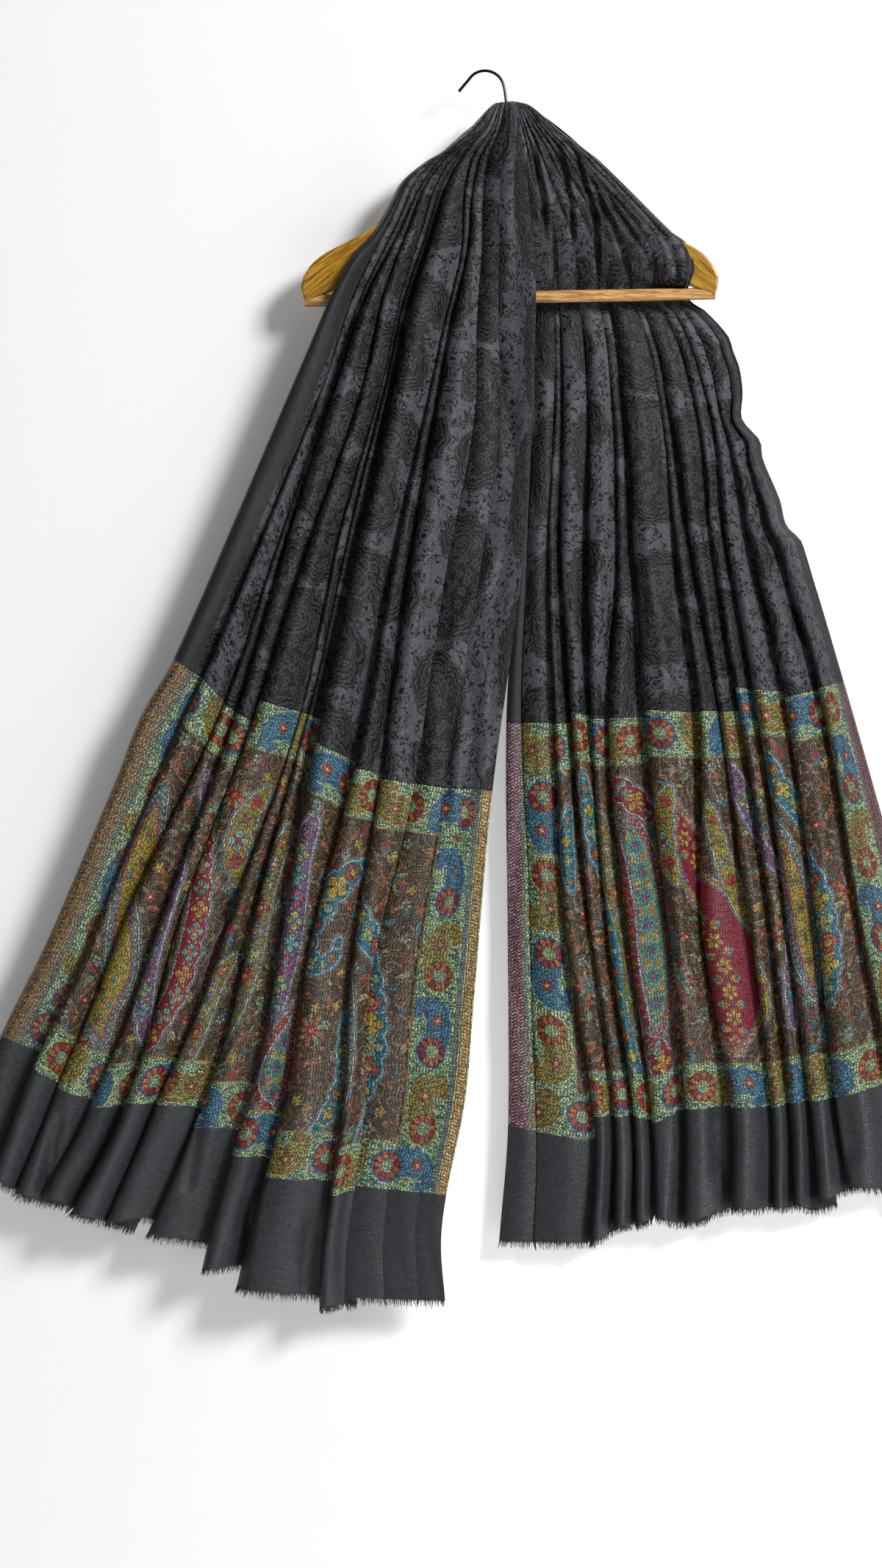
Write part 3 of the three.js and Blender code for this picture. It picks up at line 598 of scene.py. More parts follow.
class Pen:
    """Writes the maths of a finish into the nodes of one new material."""

    def __init__(self, name, **surface):
        self.material = bpy.data.materials.new(name)
        self.material.use_nodes = True
        self.tree = self.material.node_tree
        self.shader = next(n for n in self.tree.nodes if n.type == "BSDF_PRINCIPLED")
        for socket, value in surface.items():
            self.feed(self.shader.inputs[socket.replace("_", " ")], value)

    def feed(self, socket, value):
        if isinstance(value, Number):
            self.tree.links.new(value.socket, socket)
        else:
            socket.default_value = value

    def node(self, kind, inputs, output=0, **settings):
        made = self.tree.nodes.new(kind)
        for name, value in settings.items():
            setattr(made, name, value)
        for key, value in inputs.items():
            self.feed(made.inputs[key], value)
        return Number(self, made.outputs[output])

    def maths(self, operation, *values):
        return self.node("ShaderNodeMath", dict(enumerate(values)), operation=operation)

    def split(self, vector):
        made = self.tree.nodes.new("ShaderNodeSeparateXYZ")
        self.feed(made.inputs[0], vector)
        return [Number(self, made.outputs[k]) for k in range(3)]

    def join(self, x, y, z=0.0):
        return self.node("ShaderNodeCombineXYZ", {0: x, 1: y, 2: z})

    def cloth(self):
        """Millimetres across the cloth from its first selvedge, and along it from the crown."""
        u, v, _ = self.split(self.node("ShaderNodeUVMap", {}, uv_map="cloth"))
        return u * 1000.0, v * 1000.0

    def attribute(self, name):
        return self.node("ShaderNodeAttribute", {}, output="Vector", attribute_name=name)

    def place(self):
        """A point's place on the object, in millimetres."""
        at = self.node("ShaderNodeTexCoord", {}, output="Object")
        x, y, z = self.split(at)
        return x * 1000.0, y * 1000.0, z * 1000.0

    def below(self, value, edge, soft=0.25):
        """1 where value is under edge and 0 over it, with a soft change."""
        return self.node(
            "ShaderNodeMapRange",
            {0: value, 1: edge - soft, 2: edge + soft, 3: 1.0, 4: 0.0},
            interpolation_type="SMOOTHSTEP",
        )

    def between(self, value, low, high, soft=0.25):
        return self.below(abs(value - (low + high) / 2), (high - low) / 2, soft)

    def most(self, a, b):
        return self.maths("MAXIMUM", a, b)

    def apart(self, value):
        """How far value is from the middle between two whole numbers, 0 to 0.5."""
        return abs(self.maths("FRACT", value) - 0.5)

    def reach(self, x, y):
        """The length of (x, y)."""
        return self.maths("SQRT", x * x + y * y)

    def choose(self, factor, a, b):
        """A number between a, where factor is 0, and b, where it is 1."""
        return self.node("ShaderNodeMix", {0: factor, 2: a, 3: b}, data_type="FLOAT")

    def paint(self, factor, under, over):
        """The colour over laid on the colour under, where factor is 1."""
        return self.node("ShaderNodeMix", {0: factor, 6: under, 7: over}, output=2, data_type="RGBA")

    def tint(self, colour, amount):
        """A colour made lighter or darker by a number."""
        return self.node(
            "ShaderNodeMix", {0: 1.0, 6: colour, 7: self.join(amount, amount, amount)},
            output=2, data_type="RGBA", blend_type="MULTIPLY",
        )

    def noise(self, x, y, z=0.0, detail=2.0, rough=0.5):
        inputs = {"Vector": self.join(x, y, z), "Scale": 1.0, "Detail": detail, "Roughness": rough}
        return self.node("ShaderNodeTexNoise", inputs, output=0)

    def random(self, x, y):
        inputs = {"Vector": self.join(x, y)}
        return self.node("ShaderNodeTexWhiteNoise", inputs, output="Value", noise_dimensions="2D")

    def ramp(self, value, stops, constant=False):
        made = self.tree.nodes.new("ShaderNodeValToRGB")
        made.color_ramp.interpolation = "CONSTANT" if constant else "LINEAR"
        points = made.color_ramp.elements
        for at, _ in stops[2:]:
            points.new(at)
        for point, (at, colour) in zip(points, stops):
            point.position, point.color = at, colour
        self.feed(made.inputs[0], value)
        return Number(self, made.outputs[0])

    def finish(self, colour, roughness=None, height=None, depth=0.3):
        """Joins the colour, roughness and bump to the shader; depth is in millimetres."""
        self.feed(self.shader.inputs["Base Color"], colour)
        if roughness is not None:
            self.feed(self.shader.inputs["Roughness"], roughness)
        if height is not None:
            bump = self.node("ShaderNodeBump", {"Height": height, "Distance": depth * MM, "Strength": 1.0})
            self.feed(self.shader.inputs["Normal"], bump)
        return self.material


def petals(pen, turn, count, inner, outer):
    """How far a flower of pointed petals reaches at each angle."""
    share = abs(pen.maths("FRACT", turn * (count / math.tau) + 20.0) * 2.0 - 1.0)
    return pen.choose(share, outer, inner)


def scatter(pen, u, v, cell, seed):
    """Figures thrown over the cloth: the place from the nearest one's middle, and two numbers
    of its own."""
    x, y = u / cell + seed, v / cell + 1.7 * seed
    made = pen.tree.nodes.new("ShaderNodeTexVoronoi")
    made.voronoi_dimensions = "2D"
    made.inputs["Scale"].default_value = 1.0
    made.inputs["Randomness"].default_value = 0.8
    pen.feed(made.inputs["Vector"], pen.join(x, y))
    own = pen.split(Number(pen, made.outputs["Color"]))
    at = pen.split(Number(pen, made.outputs["Position"]))
    return (x - at[0]) * cell, (y - at[1]) * cell, own[0], own[1]


def rotated(pen, x, y, turn):
    c, s = pen.maths("COSINE", turn), pen.maths("SINE", turn)
    return x * c + y * s, y * c - x * s


def threads(pen, u, v, long, tall):
    """Floats of yarn: a number for each one, and 1 at its middle falling to 0 at its ends."""
    row = pen.maths("FLOOR", v / tall)
    at = u / long + pen.random(row, 3.1)
    own = pen.random(pen.maths("FLOOR", at), row)
    ends = abs(pen.maths("FRACT", at) * 2.0 - 1.0)
    sides = abs(pen.maths("FRACT", v / tall) * 2.0 - 1.0)
    return own, (1.0 - ends * ends * ends) * (1.0 - sides * sides * 0.8)


# Circles whose union is a boteh, with its round foot at the middle and its tip curled back:
# place along, place across, radius, in units of the foot's radius.
BOTEH = [(0, 0, 1.0), (-0.9, -0.3, 0.86), (-1.7, -0.36, 0.86), (-2.4, -0.2, 0.8), (-2.95, 0.2, 0.62),
         (-3.1, 0.78, 0.44), (-2.7, 1.14, 0.3), (-2.3, 1.1, 0.2)]


def boteh(pen, p, q, size):
    """How far a point is outside of a boteh whose foot has the radius size."""
    far = None
    for along_it, across_it, radius in BOTEH:
        away = pen.reach(p - along_it * size, q - across_it * size) - radius * size
        far = away if far is None else pen.maths("SMOOTH_MIN", far, away, 0.12 * size)
    return far


def field_cloth(name, low, high, satin, figures):
    """Dark satin with its figures woven tone on tone, and plain at the selvedges."""
    pen = Pen(name, Specular_IOR_Level=0.22)
    u, v = pen.cloth()
    shake, shake_v = (pen.noise(u / 9, v / 9, seed, 2.0, 0.6) - 0.5 for seed in (0.0, 5.0))

    # large botehs in columns, every other column half a step lower and turned over
    wide, tall = 96.0, 138.0
    q = u + shake * 9.0
    column = pen.maths("FLOOR", q / wide)
    lower = pen.maths("FLOORED_MODULO", column, 2.0)
    p = v + shake_v * 9.0 + lower * (tall / 2) + 30.0
    own_row = pen.maths("FLOOR", p / tall)
    own, other = pen.random(column + 0.5, own_row), pen.random(own_row + 7.5, column)
    big = 0.86 + own * 0.26
    p = (pen.maths("FLOORED_MODULO", p, tall) - 102.0 + other * 12.0) / big
    q = (pen.maths("FLOORED_MODULO", q, wide) - wide / 2 + (own - 0.5) * 10.0) * (1.0 - lower * 2.0) / big - 4.0
    turn = pen.maths("ARCTAN2", p + 40.0, q)
    scallop = abs(pen.maths("SINE", turn * 9.0)) * -3.2
    fringed = (pen.noise(u / 2.6, v / 2.0, 8.0, 2.0, 0.7) - 0.5) * 4.0
    far = boteh(pen, p, q, 25.0) - 4.0 + scallop + fringed
    inside = pen.below(far, 0.0, 0.9)
    rings = pen.below(pen.apart(far / 3.7 + 20.0), 0.2, 0.09) * pen.below(-far, 14.0, 0.6)
    eye_reach, eye_turn = pen.reach(p + 62.0, q - 4.0), pen.maths("ARCTAN2", p + 62.0, q - 4.0)
    spiral = pen.apart(eye_reach / 4.6 + eye_turn / math.tau + 1.0)
    spiral = pen.below(spiral, 0.2, 0.08) * pen.below(eye_reach, 17.0, 1.0)

    # vines and flowers in their middles
    wave = pen.noise(u / 13, v / 13, 3.0, 1.0)
    vine = pen.below(pen.apart(wave * 13.0), 0.15, 0.07)
    fx, fy, _, _ = scatter(pen, u, v, 11.0, 4.0)
    whole, gaps, heart = flower(pen, fx, fy, 4.4, 5)
    bloom = whole * (1.0 - gaps) * (1.0 - heart)
    core = pen.most(vine * 0.75, bloom) * pen.below(far, -14.0, 0.8)
    work = pen.most(pen.most(rings, spiral), core)

    # sprigs on the ground between them
    sx, sy, turned, _ = scatter(pen, u + shake * 16.0, v + shake_v * 16.0, 13.0, 9.0)
    sx, sy = rotated(pen, sx, sy, turned * math.tau)
    stem = pen.below(abs(sy - pen.maths("SINE", sx * 0.55) * 2.2), 0.6, 0.3) * pen.below(abs(sx), 6.8, 0.4)
    leaf = pen.below(pen.reach(abs(sx) - 3.6, (sy - 1.9) * 1.9), 2.3, 0.4)
    leaves = pen.below(pen.reach((abs(sx) - 1.4) * 1.2, (sy + 2.6) * 1.2), 1.5, 0.4)
    sprig = pen.most(pen.most(stem, leaf), leaves)
    mottle = pen.below(pen.noise(u / 3.4, v / 2.4, 2.0, 3.0, 0.75), 0.41, 0.05)
    grain = pen.noise(u / 1.6, v / 0.9, 6.0, 2.0, 0.8)
    ground = pen.most(sprig, mottle * 0.55)
    dark = pen.choose(inside, ground, 1.0 - work * 0.56)
    plain = pen.most(pen.below(u, low, 0.3), pen.below(-u, -high, 0.3))
    dark = pen.choose(plain, dark, 0.72)

    own, body = threads(pen, u, v, 2.4, 0.75)
    cross, _ = threads(pen, v, u, 3.0, 0.8)
    colour = pen.paint(dark, satin, figures)
    colour = pen.tint(colour, own * 0.4 + cross * 0.26 + body * 0.2 + grain * 0.66 - 0.08)
    rough = pen.choose(dark, 0.28, 0.46)
    height = body * 0.5 + cross * 0.3 - dark * 0.6 + grain * 0.3
    return pen.finish(colour, roughness=rough, height=height, depth=0.28)


def end_cloth(name, base):
    """Plain fine twill, with slubs in its weft."""
    pen = Pen(name, Specular_IOR_Level=0.33, Roughness=0.34)
    u, v = pen.cloth()
    own, body = threads(pen, u, v, 4.0, 0.7)
    other, _ = threads(pen, v, u, 6.0, 0.9)
    slub = pen.noise(u / 9, v / 0.8, 0.0, 2.0, 0.7)
    warp = pen.noise(u / 0.8, v / 12, 4.0, 2.0, 0.7)
    colour = pen.tint(base, own * 0.4 + other * 0.25 + slub * 1.05 + warp * 0.45 - 0.3)
    return pen.finish(colour, height=body * 0.6 + slub, depth=0.16)


# ---- the woven panels --------------------------------------------------------------------

# The figures of a panel, in millimetres across the cloth and down from the panel's top. kind
# picks the colours of COLOURS. side says where a band is scalloped: 1 to its left when seen
# going along it from its first point, -1 to its right, BOTH, or 0 nowhere. points are places
# along its middle line, each with the half width there. The bands are set with flowers, and
# the figures, which are wider, are ringed.
Band = namedtuple("Band", "kind side points")
BOTH = 2
CRIMSON, TEAL, OLIVE, LILAC, GREEN, DEEP, YELLOW = range(7)

LEFT_BANDS = [
    Band(CRIMSON, -1, [(302, 112, 4), (309, 142, 9), (317, 168, 9), (327, 196, 9.5), (331, 240, 10),
                       (329, 282, 10), (322, 304, 10), (313, 330, 9.5), (300, 352, 7)]),
    Band(YELLOW, BOTH, [(352, 82, 5), (345, 100, 11), (341, 122, 13), (345, 146, 12), (356, 168, 6)]),
    Band(OLIVE, 1, [(526, 110, 5), (524, 134, 8), (519, 156, 10), (520, 190, 10.5), (522, 224, 11),
                    (519, 250, 11), (512, 286, 10), (504, 312, 8), (498, 330, 5)]),
    Band(OLIVE, 1, [(432, 246, 5), (421, 270, 10), (420, 298, 10), (422, 324, 9), (426, 342, 5)]),
    Band(LILAC, 1, [(640, 70, 6), (634, 92, 10), (633, 118, 10.5), (636, 150, 10.5), (638, 182, 10.5),
                    (633, 215, 11), (627, 246, 11), (620, 280, 10), (618, 316, 10), (626, 346, 9)]),
    Band(TEAL, -1, [(834, 100, 5), (841, 122, 9), (862, 150, 12), (882, 168, 12), (893, 192, 12),
                    (899, 220, 12.5), (902, 252, 12.5), (899, 282, 12), (888, 314, 11), (876, 346, 7)]),
    Band(DEEP, 0, [(646, 254, 3), (628, 284, 4.5), (622, 312, 5), (631, 334, 5), (648, 344, 5)]),
    Band(LILAC, 1, [(165, 70, 4), (185, 100, 9), (214, 132, 10), (223, 164, 10), (225, 200, 10), (228, 244, 10),
                    (240, 290, 8), (252, 320, 4)]),
    Band(CRIMSON, BOTH, [(596, 60, 5), (588, 84, 8), (586, 112, 8), (578, 140, 8), (570, 176, 8), (566, 210, 6)]),
    Band(TEAL, BOTH, [(772, 236, 4), (776, 262, 9), (780, 292, 10), (772, 322, 9), (760, 344, 5)]),
    Band(TEAL, BOTH, [(756, 90, 8), (742, 102, 13), (729, 120, 15), (718, 142, 14), (714, 162, 13), (719, 181, 11),
                      (733, 189, 8), (747, 180, 6), (749, 164, 4)]),
    Band(OLIVE, -1, [(452, 80, 4), (470, 104, 8), (478, 136, 9), (476, 170, 9), (466, 204, 8), (458, 230, 4)]),
]
LEFT_FIGURES = [
    Band(YELLOW, 0, [(834, 160, 3), (838, 186, 8), (842, 220, 10), (843, 268, 10), (838, 308, 9), (830, 344, 4)]),
    Band(YELLOW, 0, [(98, 106, 4), (100, 140, 14), (112, 186, 26), (132, 230, 34), (148, 270, 34), (156, 306, 22),
                     (170, 330, 8)]),
    Band(GREEN, 0, [(654, 240, 3), (645, 280, 13), (643, 302, 19), (648, 326, 14), (652, 340, 5)]),
    Band(CRIMSON, 0, [(296, 84, 2), (292, 112, 7), (292, 140, 9), (298, 166, 6), (304, 184, 3)]),
    Band(GREEN, 0, [(386, 150, 4), (380, 190, 14), (376, 232, 20), (372, 274, 18), (376, 304, 8)]),
]
LEFT_SUNS = [(322, 92), (894, 92), (736, 250), (226, 96), (560, 300), (470, 300), (372, 330)]
RIGHT_BANDS = [
    Band(YELLOW, BOTH, [(436, 78, 5), (428, 98, 10), (425, 120, 12), (426, 144, 11), (434, 164, 5)]),
    Band(CRIMSON, BOTH, [(336, 60, 7), (350, 72, 12), (366, 86, 12), (376, 98, 5)]),
    Band(CRIMSON, BOTH, [(340, 312, 6), (351, 332, 13), (353, 352, 9)]),
    Band(DEEP, 0, [(334, 100, 3), (338, 140, 4.5), (340, 190, 5), (338, 250, 4.5), (342, 300, 3)]),
    Band(TEAL, -1, [(766, 66, 5), (774, 92, 11), (796, 118, 12), (825, 150, 12.5), (840, 182, 13),
                    (847, 220, 13), (848, 254, 13), (838, 288, 12), (808, 312, 9), (786, 332, 4)]),
    Band(TEAL, 0, [(154, 84, 3), (150, 108, 7), (150, 136, 8), (154, 164, 3)]),
    Band(TEAL, 1, [(213, 62, 4), (218, 98, 9), (225, 140, 10), (250, 175, 10), (265, 206, 10), (267, 250, 10),
                   (268, 300, 10), (275, 330, 8), (284, 350, 4)]),
    Band(OLIVE, -1, [(270, 96, 4), (275, 132, 8), (279, 165, 9), (286, 200, 9), (289, 236, 9), (287, 265, 8),
                     (284, 296, 3)]),
    Band(YELLOW, -1, [(528, 96, 4), (541, 138, 8), (562, 190, 9), (600, 240, 10), (616, 280, 10), (604, 312, 8),
                      (568, 338, 4)]),
    Band(LILAC, -1, [(618, 58, 5), (630, 90, 11), (648, 122, 11), (684, 148, 9), (706, 172, 4)]),
    Band(LILAC, 1, [(718, 180, 4), (724, 210, 9), (716, 244, 9), (706, 280, 8), (704, 320, 4)]),
    Band(OLIVE, 1, [(186, 190, 4), (180, 220, 8), (178, 256, 9), (180, 292, 8), (188, 324, 3)]),
]
RIGHT_FIGURES = [
    Band(CRIMSON, 0, [(438, 86, 4), (447, 120, 19), (466, 152, 29), (496, 184, 36), (522, 212, 43),
                      (534, 246, 47), (537, 282, 42), (536, 308, 28), (532, 330, 10)]),
    Band(GREEN, 0, [(345, 86, 4), (352, 112, 14), (357, 142, 21), (358, 184, 24), (358, 224, 25), (356, 264, 23),
                    (353, 294, 15), (350, 312, 5)]),
    Band(YELLOW, 0, [(756, 120, 3), (768, 150, 11), (775, 188, 15), (778, 226, 16), (779, 260, 14),
                     (781, 292, 5)]),
    Band(TEAL, 0, [(664, 240, 3), (656, 276, 12), (654, 306, 16), (660, 334, 7)]),
]
RIGHT_SUNS = [(201, 216), (424, 262), (690, 236), (160, 262), (878, 200), (596, 92), (470, 330)]

COLOURS = {
    # crimson, teal, olive, lilac, green, deep red, yellow
    "body": ("a12339", "2f8598", "8f8636", "7b6792", "7d9f77", "b02a2c", "b09a34"),
    "petal": ("6fb0a4", "b9434a", "b5354a", "c2435c", "c8604a", "d9a13a", "c2523a"),
    "other": ("cfae45", "d6b447", "7f7fb0", "d0bb5a", "3c8aa0", "8cb08a", "8f9a45"),
    "heart": ("d46a35", "c9b650", "e0b34a", "3f97a6", "b02a3c", "b02a2c", "b3313d"),
    "rim": ("c73446", "4f9fc0", "6c7a3c", "a98bb4", "b93a3c", "7d8fae", "8a7a2c"),
    "ring": ("a8953a", "3f8f9e", "a8953a", "a8953a", "a03a40", "a8953a", "3f8f9e"),
}
WHITE, SKY, DARK = "cfcbbb", "7f9cb4", "2c231c"


PATH_STEP = 1.5  # between the points that a band's middle line is followed by
MANY = 4000  # how many places are compared with a band at once


def smooth_path(points):
    """Even points along a band: place, direction, half width and distance from its start."""
    points = np.asarray(points, float)
    at = np.concatenate([[0], np.cumsum(np.linalg.norm(np.diff(points[:, :2], axis=0), axis=1))])
    t = np.arange(0, at[-1], PATH_STEP)
    place = np.stack([along(at, points[:, k], t) for k in (0, 1)], axis=1)
    wide = np.interp(t, at, points[:, 2])
    way = np.gradient(place, axis=0)
    return place, way / np.linalg.norm(way, axis=1)[:, None], wide, t


def nearest_band(flat, bands):
    """For every place in the cloth, the band whose edge is nearest, and where the place is in it."""
    spot = np.zeros((len(flat), 3))
    make = np.zeros((len(flat), 3))
    best = np.full(len(flat), np.inf)
    for band in bands:
        place, way, wide, t = smooth_path(band.points)
        for part in np.array_split(np.arange(len(flat)), max(1, len(flat) // MANY)):
            off = flat[part, None] - place[None]
            k = np.argmin((off ** 2).sum(axis=2), axis=1)
            off = off[np.arange(len(part)), k]
            away = np.linalg.norm(off, axis=1)
            left = way[k, 0] * off[:, 1] - way[k, 1] * off[:, 0]
            across = np.where(left < 0, -away, away)
            across = away if band.side == BOTH else across * (band.side or 1)
            nearer = away - wide[k] < best[part]
            rows = part[nearer]
            best[rows] = (away - wide[k])[nearer]
            ahead = t[k] + (off * way[k]).sum(axis=1)
            spot[rows] = np.stack([ahead, across, wide[k]], axis=1)[nearer]
            make[rows] = (band.kind, 1 if band.side else 0, 0)
    return spot, make


def nearest_sun(flat, suns):
    """For every place in the cloth, where it is from the nearest large flower, and which that is."""
    off = flat[:, None] - np.asarray(suns, float)[None]
    k = np.argmin((off ** 2).sum(axis=2), axis=1)
    off = off[np.arange(len(flat)), k]
    return np.concatenate([off, k[:, None]], axis=1)


def add_marks(piece, flat, panel):
    """Writes the panel's figures on its mesh, for its finish to draw."""
    flat = flat - (0, panel.start)
    band, band_make = nearest_band(flat, panel.bands)
    figure, figure_make = nearest_band(flat, panel.figures)
    sun = nearest_sun(flat, panel.suns)
    for name, values in (("band", band), ("band_make", band_make), ("figure", figure),
                         ("figure_make", figure_make), ("sun", sun)):
        layer = piece.data.attributes.new(name, "FLOAT_VECTOR", "POINT")
        layer.data.foreach_set("vector", values.astype(np.float32).ravel())


# A panel starts at the run start and is long millimetres deep. flip is 1 where the cloth is
# counted from the inner selvedge. The rest says where the small botehs of the frame begin:
# inner and outer columns and head and foot rows, each with the sense in which they run.
Panel = namedtuple("Panel", "start long flip bands figures suns inner outer head foot")
LEFT_WOVEN = Panel(
    LEFT_PANEL, LEFT_END - LEFT_PANEL, 0, LEFT_BANDS, LEFT_FIGURES, LEFT_SUNS,
    (1, -56), (-1, 92), (1, -918), (-1, 981))
RIGHT_WOVEN = Panel(
    RIGHT_PANEL, RIGHT_END - RIGHT_PANEL, 1, RIGHT_BANDS, RIGHT_FIGURES, RIGHT_SUNS,
    (-1, 122), (1, -50), (1, -824), (-1, 119))
FRAME_WIDE, TILE = 44.0, 74.0  # the frame's width, and the room for each of its botehs
INNER_SELVEDGE, OUTER_SELVEDGE = 18.0, 26.0


def palette(pen, kind, name):
    """The colour of that name for each kind of band."""
    codes = COLOURS[name]
    stops = [(i / len(codes), rgb(code)) for i, code in enumerate(codes)]
    return pen.ramp((kind + 0.5) / len(codes), stops, constant=True)


def outlines(pen, colour, edge, lines):
    """Lines along an edge, from the outermost inwards: how far out each begins, and its colour."""
    for out, hue in lines:
        colour = pen.paint(pen.below(edge, out), colour, hue)
    return colour


def flower(pen, x, y, radius, count):
    """Masks of a flower: all of it, its petals' dark gaps, and its heart."""
    out = pen.reach(x, y)
    turn = pen.maths("ARCTAN2", y, x)
    wave = pen.maths("COSINE", turn * float(count))
    whole = pen.below(out, radius * (wave * 0.17 + 0.83), 0.3)
    gaps = pen.below(wave, -0.75, 0.15) * pen.below(-out, -0.3 * radius, 0.2)
    heart = pen.below(out, radius * 0.32, 0.25)
    return whole, gaps, heart


def draw_ground(pen, u, v, own):
    """Brown, with vines, leaves and small flowers."""
    colour = pen.paint(pen.below(own, 0.3, 0.02), rgb("614c30"), rgb("947b4c"))
    colour = pen.paint(pen.below(own, 0.2, 0.02), colour, rgb("1c1610"))
    wave = pen.noise(u / 30, v / 38, 1.0, 1.0)
    vine = pen.apart(wave * 9.0)
    colour = pen.paint(pen.below(vine, 0.075, 0.03) * 0.75, colour, rgb("b08d78"))
    hues = ["c4805e", "8ba37c", "4f8f9c", "c4b48c", "bd6a3e", "a04a50"]
    for cell, seed, long, wide in ((23.0, 2.0, 9.4, 3.3), (19.0, 31.0, 5.6, 2.3)):
        x, y, r1, r2 = scatter(pen, u, v, cell, seed)
        x, y = rotated(pen, x, y, r1 * 9.0)
        bow = y - x * x * 0.035
        reach = abs(bow) - wide * (1.0 - (x / long) * (x / long)) + pen.below(r1, 0.22, 0.02) * 9.0
        hue = pen.ramp(r2, [(i / len(hues), rgb(c)) for i, c in enumerate(hues)], constant=True)
        colour = pen.paint(pen.below(reach, 0.35, 0.3), colour, rgb(DARK))
        colour = pen.paint(pen.below(reach, -0.35, 0.3), colour, hue)
        ribs = pen.most(pen.below(abs(bow), 0.35, 0.25), pen.below(pen.apart(x / 1.9), 0.16, 0.1))
        colour = pen.paint(ribs * pen.below(reach, -0.6, 0.3) * 0.5, colour, rgb("6b3a2c"))
    x, y, r1, r2 = scatter(pen, u, v, 31.0, 12.0)
    whole, gaps, heart = flower(pen, x, y, 5.2, 5)
    hue = pen.ramp(r2, [(0, rgb("8db7a5")), (0.4, rgb("b8434a")), (0.7, rgb("c5a94a"))], constant=True)
    colour = pen.paint(whole, colour, hue)
    colour = pen.paint(whole * gaps, colour, rgb(DARK))
    return pen.paint(heart, colour, pen.ramp(r2, [(0, rgb("b02a3c")), (0.5, rgb("e0c060"))], constant=True))


def draw_suns(pen, colour):
    """The large flowers of pointed petals, in two rounds."""
    x, y, own = pen.split(pen.attribute("sun"))
    out, turn = pen.reach(x, y), pen.maths("ARCTAN2", y, x)
    far = out - petals(pen, turn, 9, 6.0, 17.0)
    other = pen.below(pen.maths("SINE", turn * 4.5 + 1.0), 0.0, 0.05)
    leaf = pen.paint(other, rgb("cf6f35"), rgb("9cb285"))
    colour = pen.paint(pen.below(far, 0.8, 0.3), colour, rgb(DARK))
    colour = pen.paint(pen.below(far, 0.0, 0.3), colour, leaf)
    core = out - petals(pen, turn + 0.3, 9, 4.0, 9.0)
    odd = pen.below(pen.maths("FLOORED_MODULO", own, 2.0), 0.5, 0.1)
    colour = pen.paint(pen.below(core, 0.0, 0.3), colour, pen.paint(odd, rgb("2f8598"), rgb("a8262f")))
    return pen.paint(pen.below(out, 2.4, 0.3), colour, rgb("d9a13a"))


def draw_figures(pen, colour, rough):
    """The wide botehs: a filled middle and rings along their edge."""
    s, d, wide = pen.split(pen.attribute("figure"))
    kind, _, _ = pen.split(pen.attribute("figure_make"))
    edge = abs(d) - wide + rough
    beads = pen.apart(s / 5.5) * 5.5
    body, other, rim, ring = (palette(pen, kind, name) for name in ("body", "other", "rim", "ring"))
    colour = outlines(
        pen, colour, edge, ((4.6, rgb(SKY)), (3.4, rgb(DARK)), (2.4, rgb(WHITE)), (1.1, rim), (0.0, ring)))
    colour = pen.paint(pen.below(edge, -0.8) * pen.below(pen.reach(beads, edge + 2.0), 1.3), colour, rgb("d9b25a"))
    colour = pen.paint(pen.below(edge, -3.6), colour, rgb("8f7ca4"))
    colour = pen.paint(pen.below(edge, -4.0) * pen.below(pen.reach(beads, edge + 5.0), 0.9), colour, rgb("b3353a"))
    colour = outlines(pen, colour, edge, ((-6.2, rgb("b02a3c")), (-7.0, body)))
    pitch = 26.0
    step = pen.maths("FRACT", s / pitch) * pitch - pitch / 2
    middle = pen.below(edge, -8.0)
    whole, gaps, heart = flower(pen, step, d, 8.5, 6)
    colour = pen.paint(middle * whole, colour, other)
    colour = pen.paint(middle * whole * gaps, colour, rgb(DARK))
    colour = pen.paint(middle * heart, colour, rgb("b3353a"))
    for sign, hue in ((1.0, "5d9aa0"), (-1.0, "c9963f")):
        x, y = rotated(pen, abs(step) - pitch / 2, abs(d) - 9.0 - sign * 3.0, sign * 0.8)
        leaf = abs(y) - 2.4 * (1.0 - (x / 6.5) * (x / 6.5))
        colour = pen.paint(pen.below(leaf, 0.0) * middle, colour, rgb(hue))
    return colour


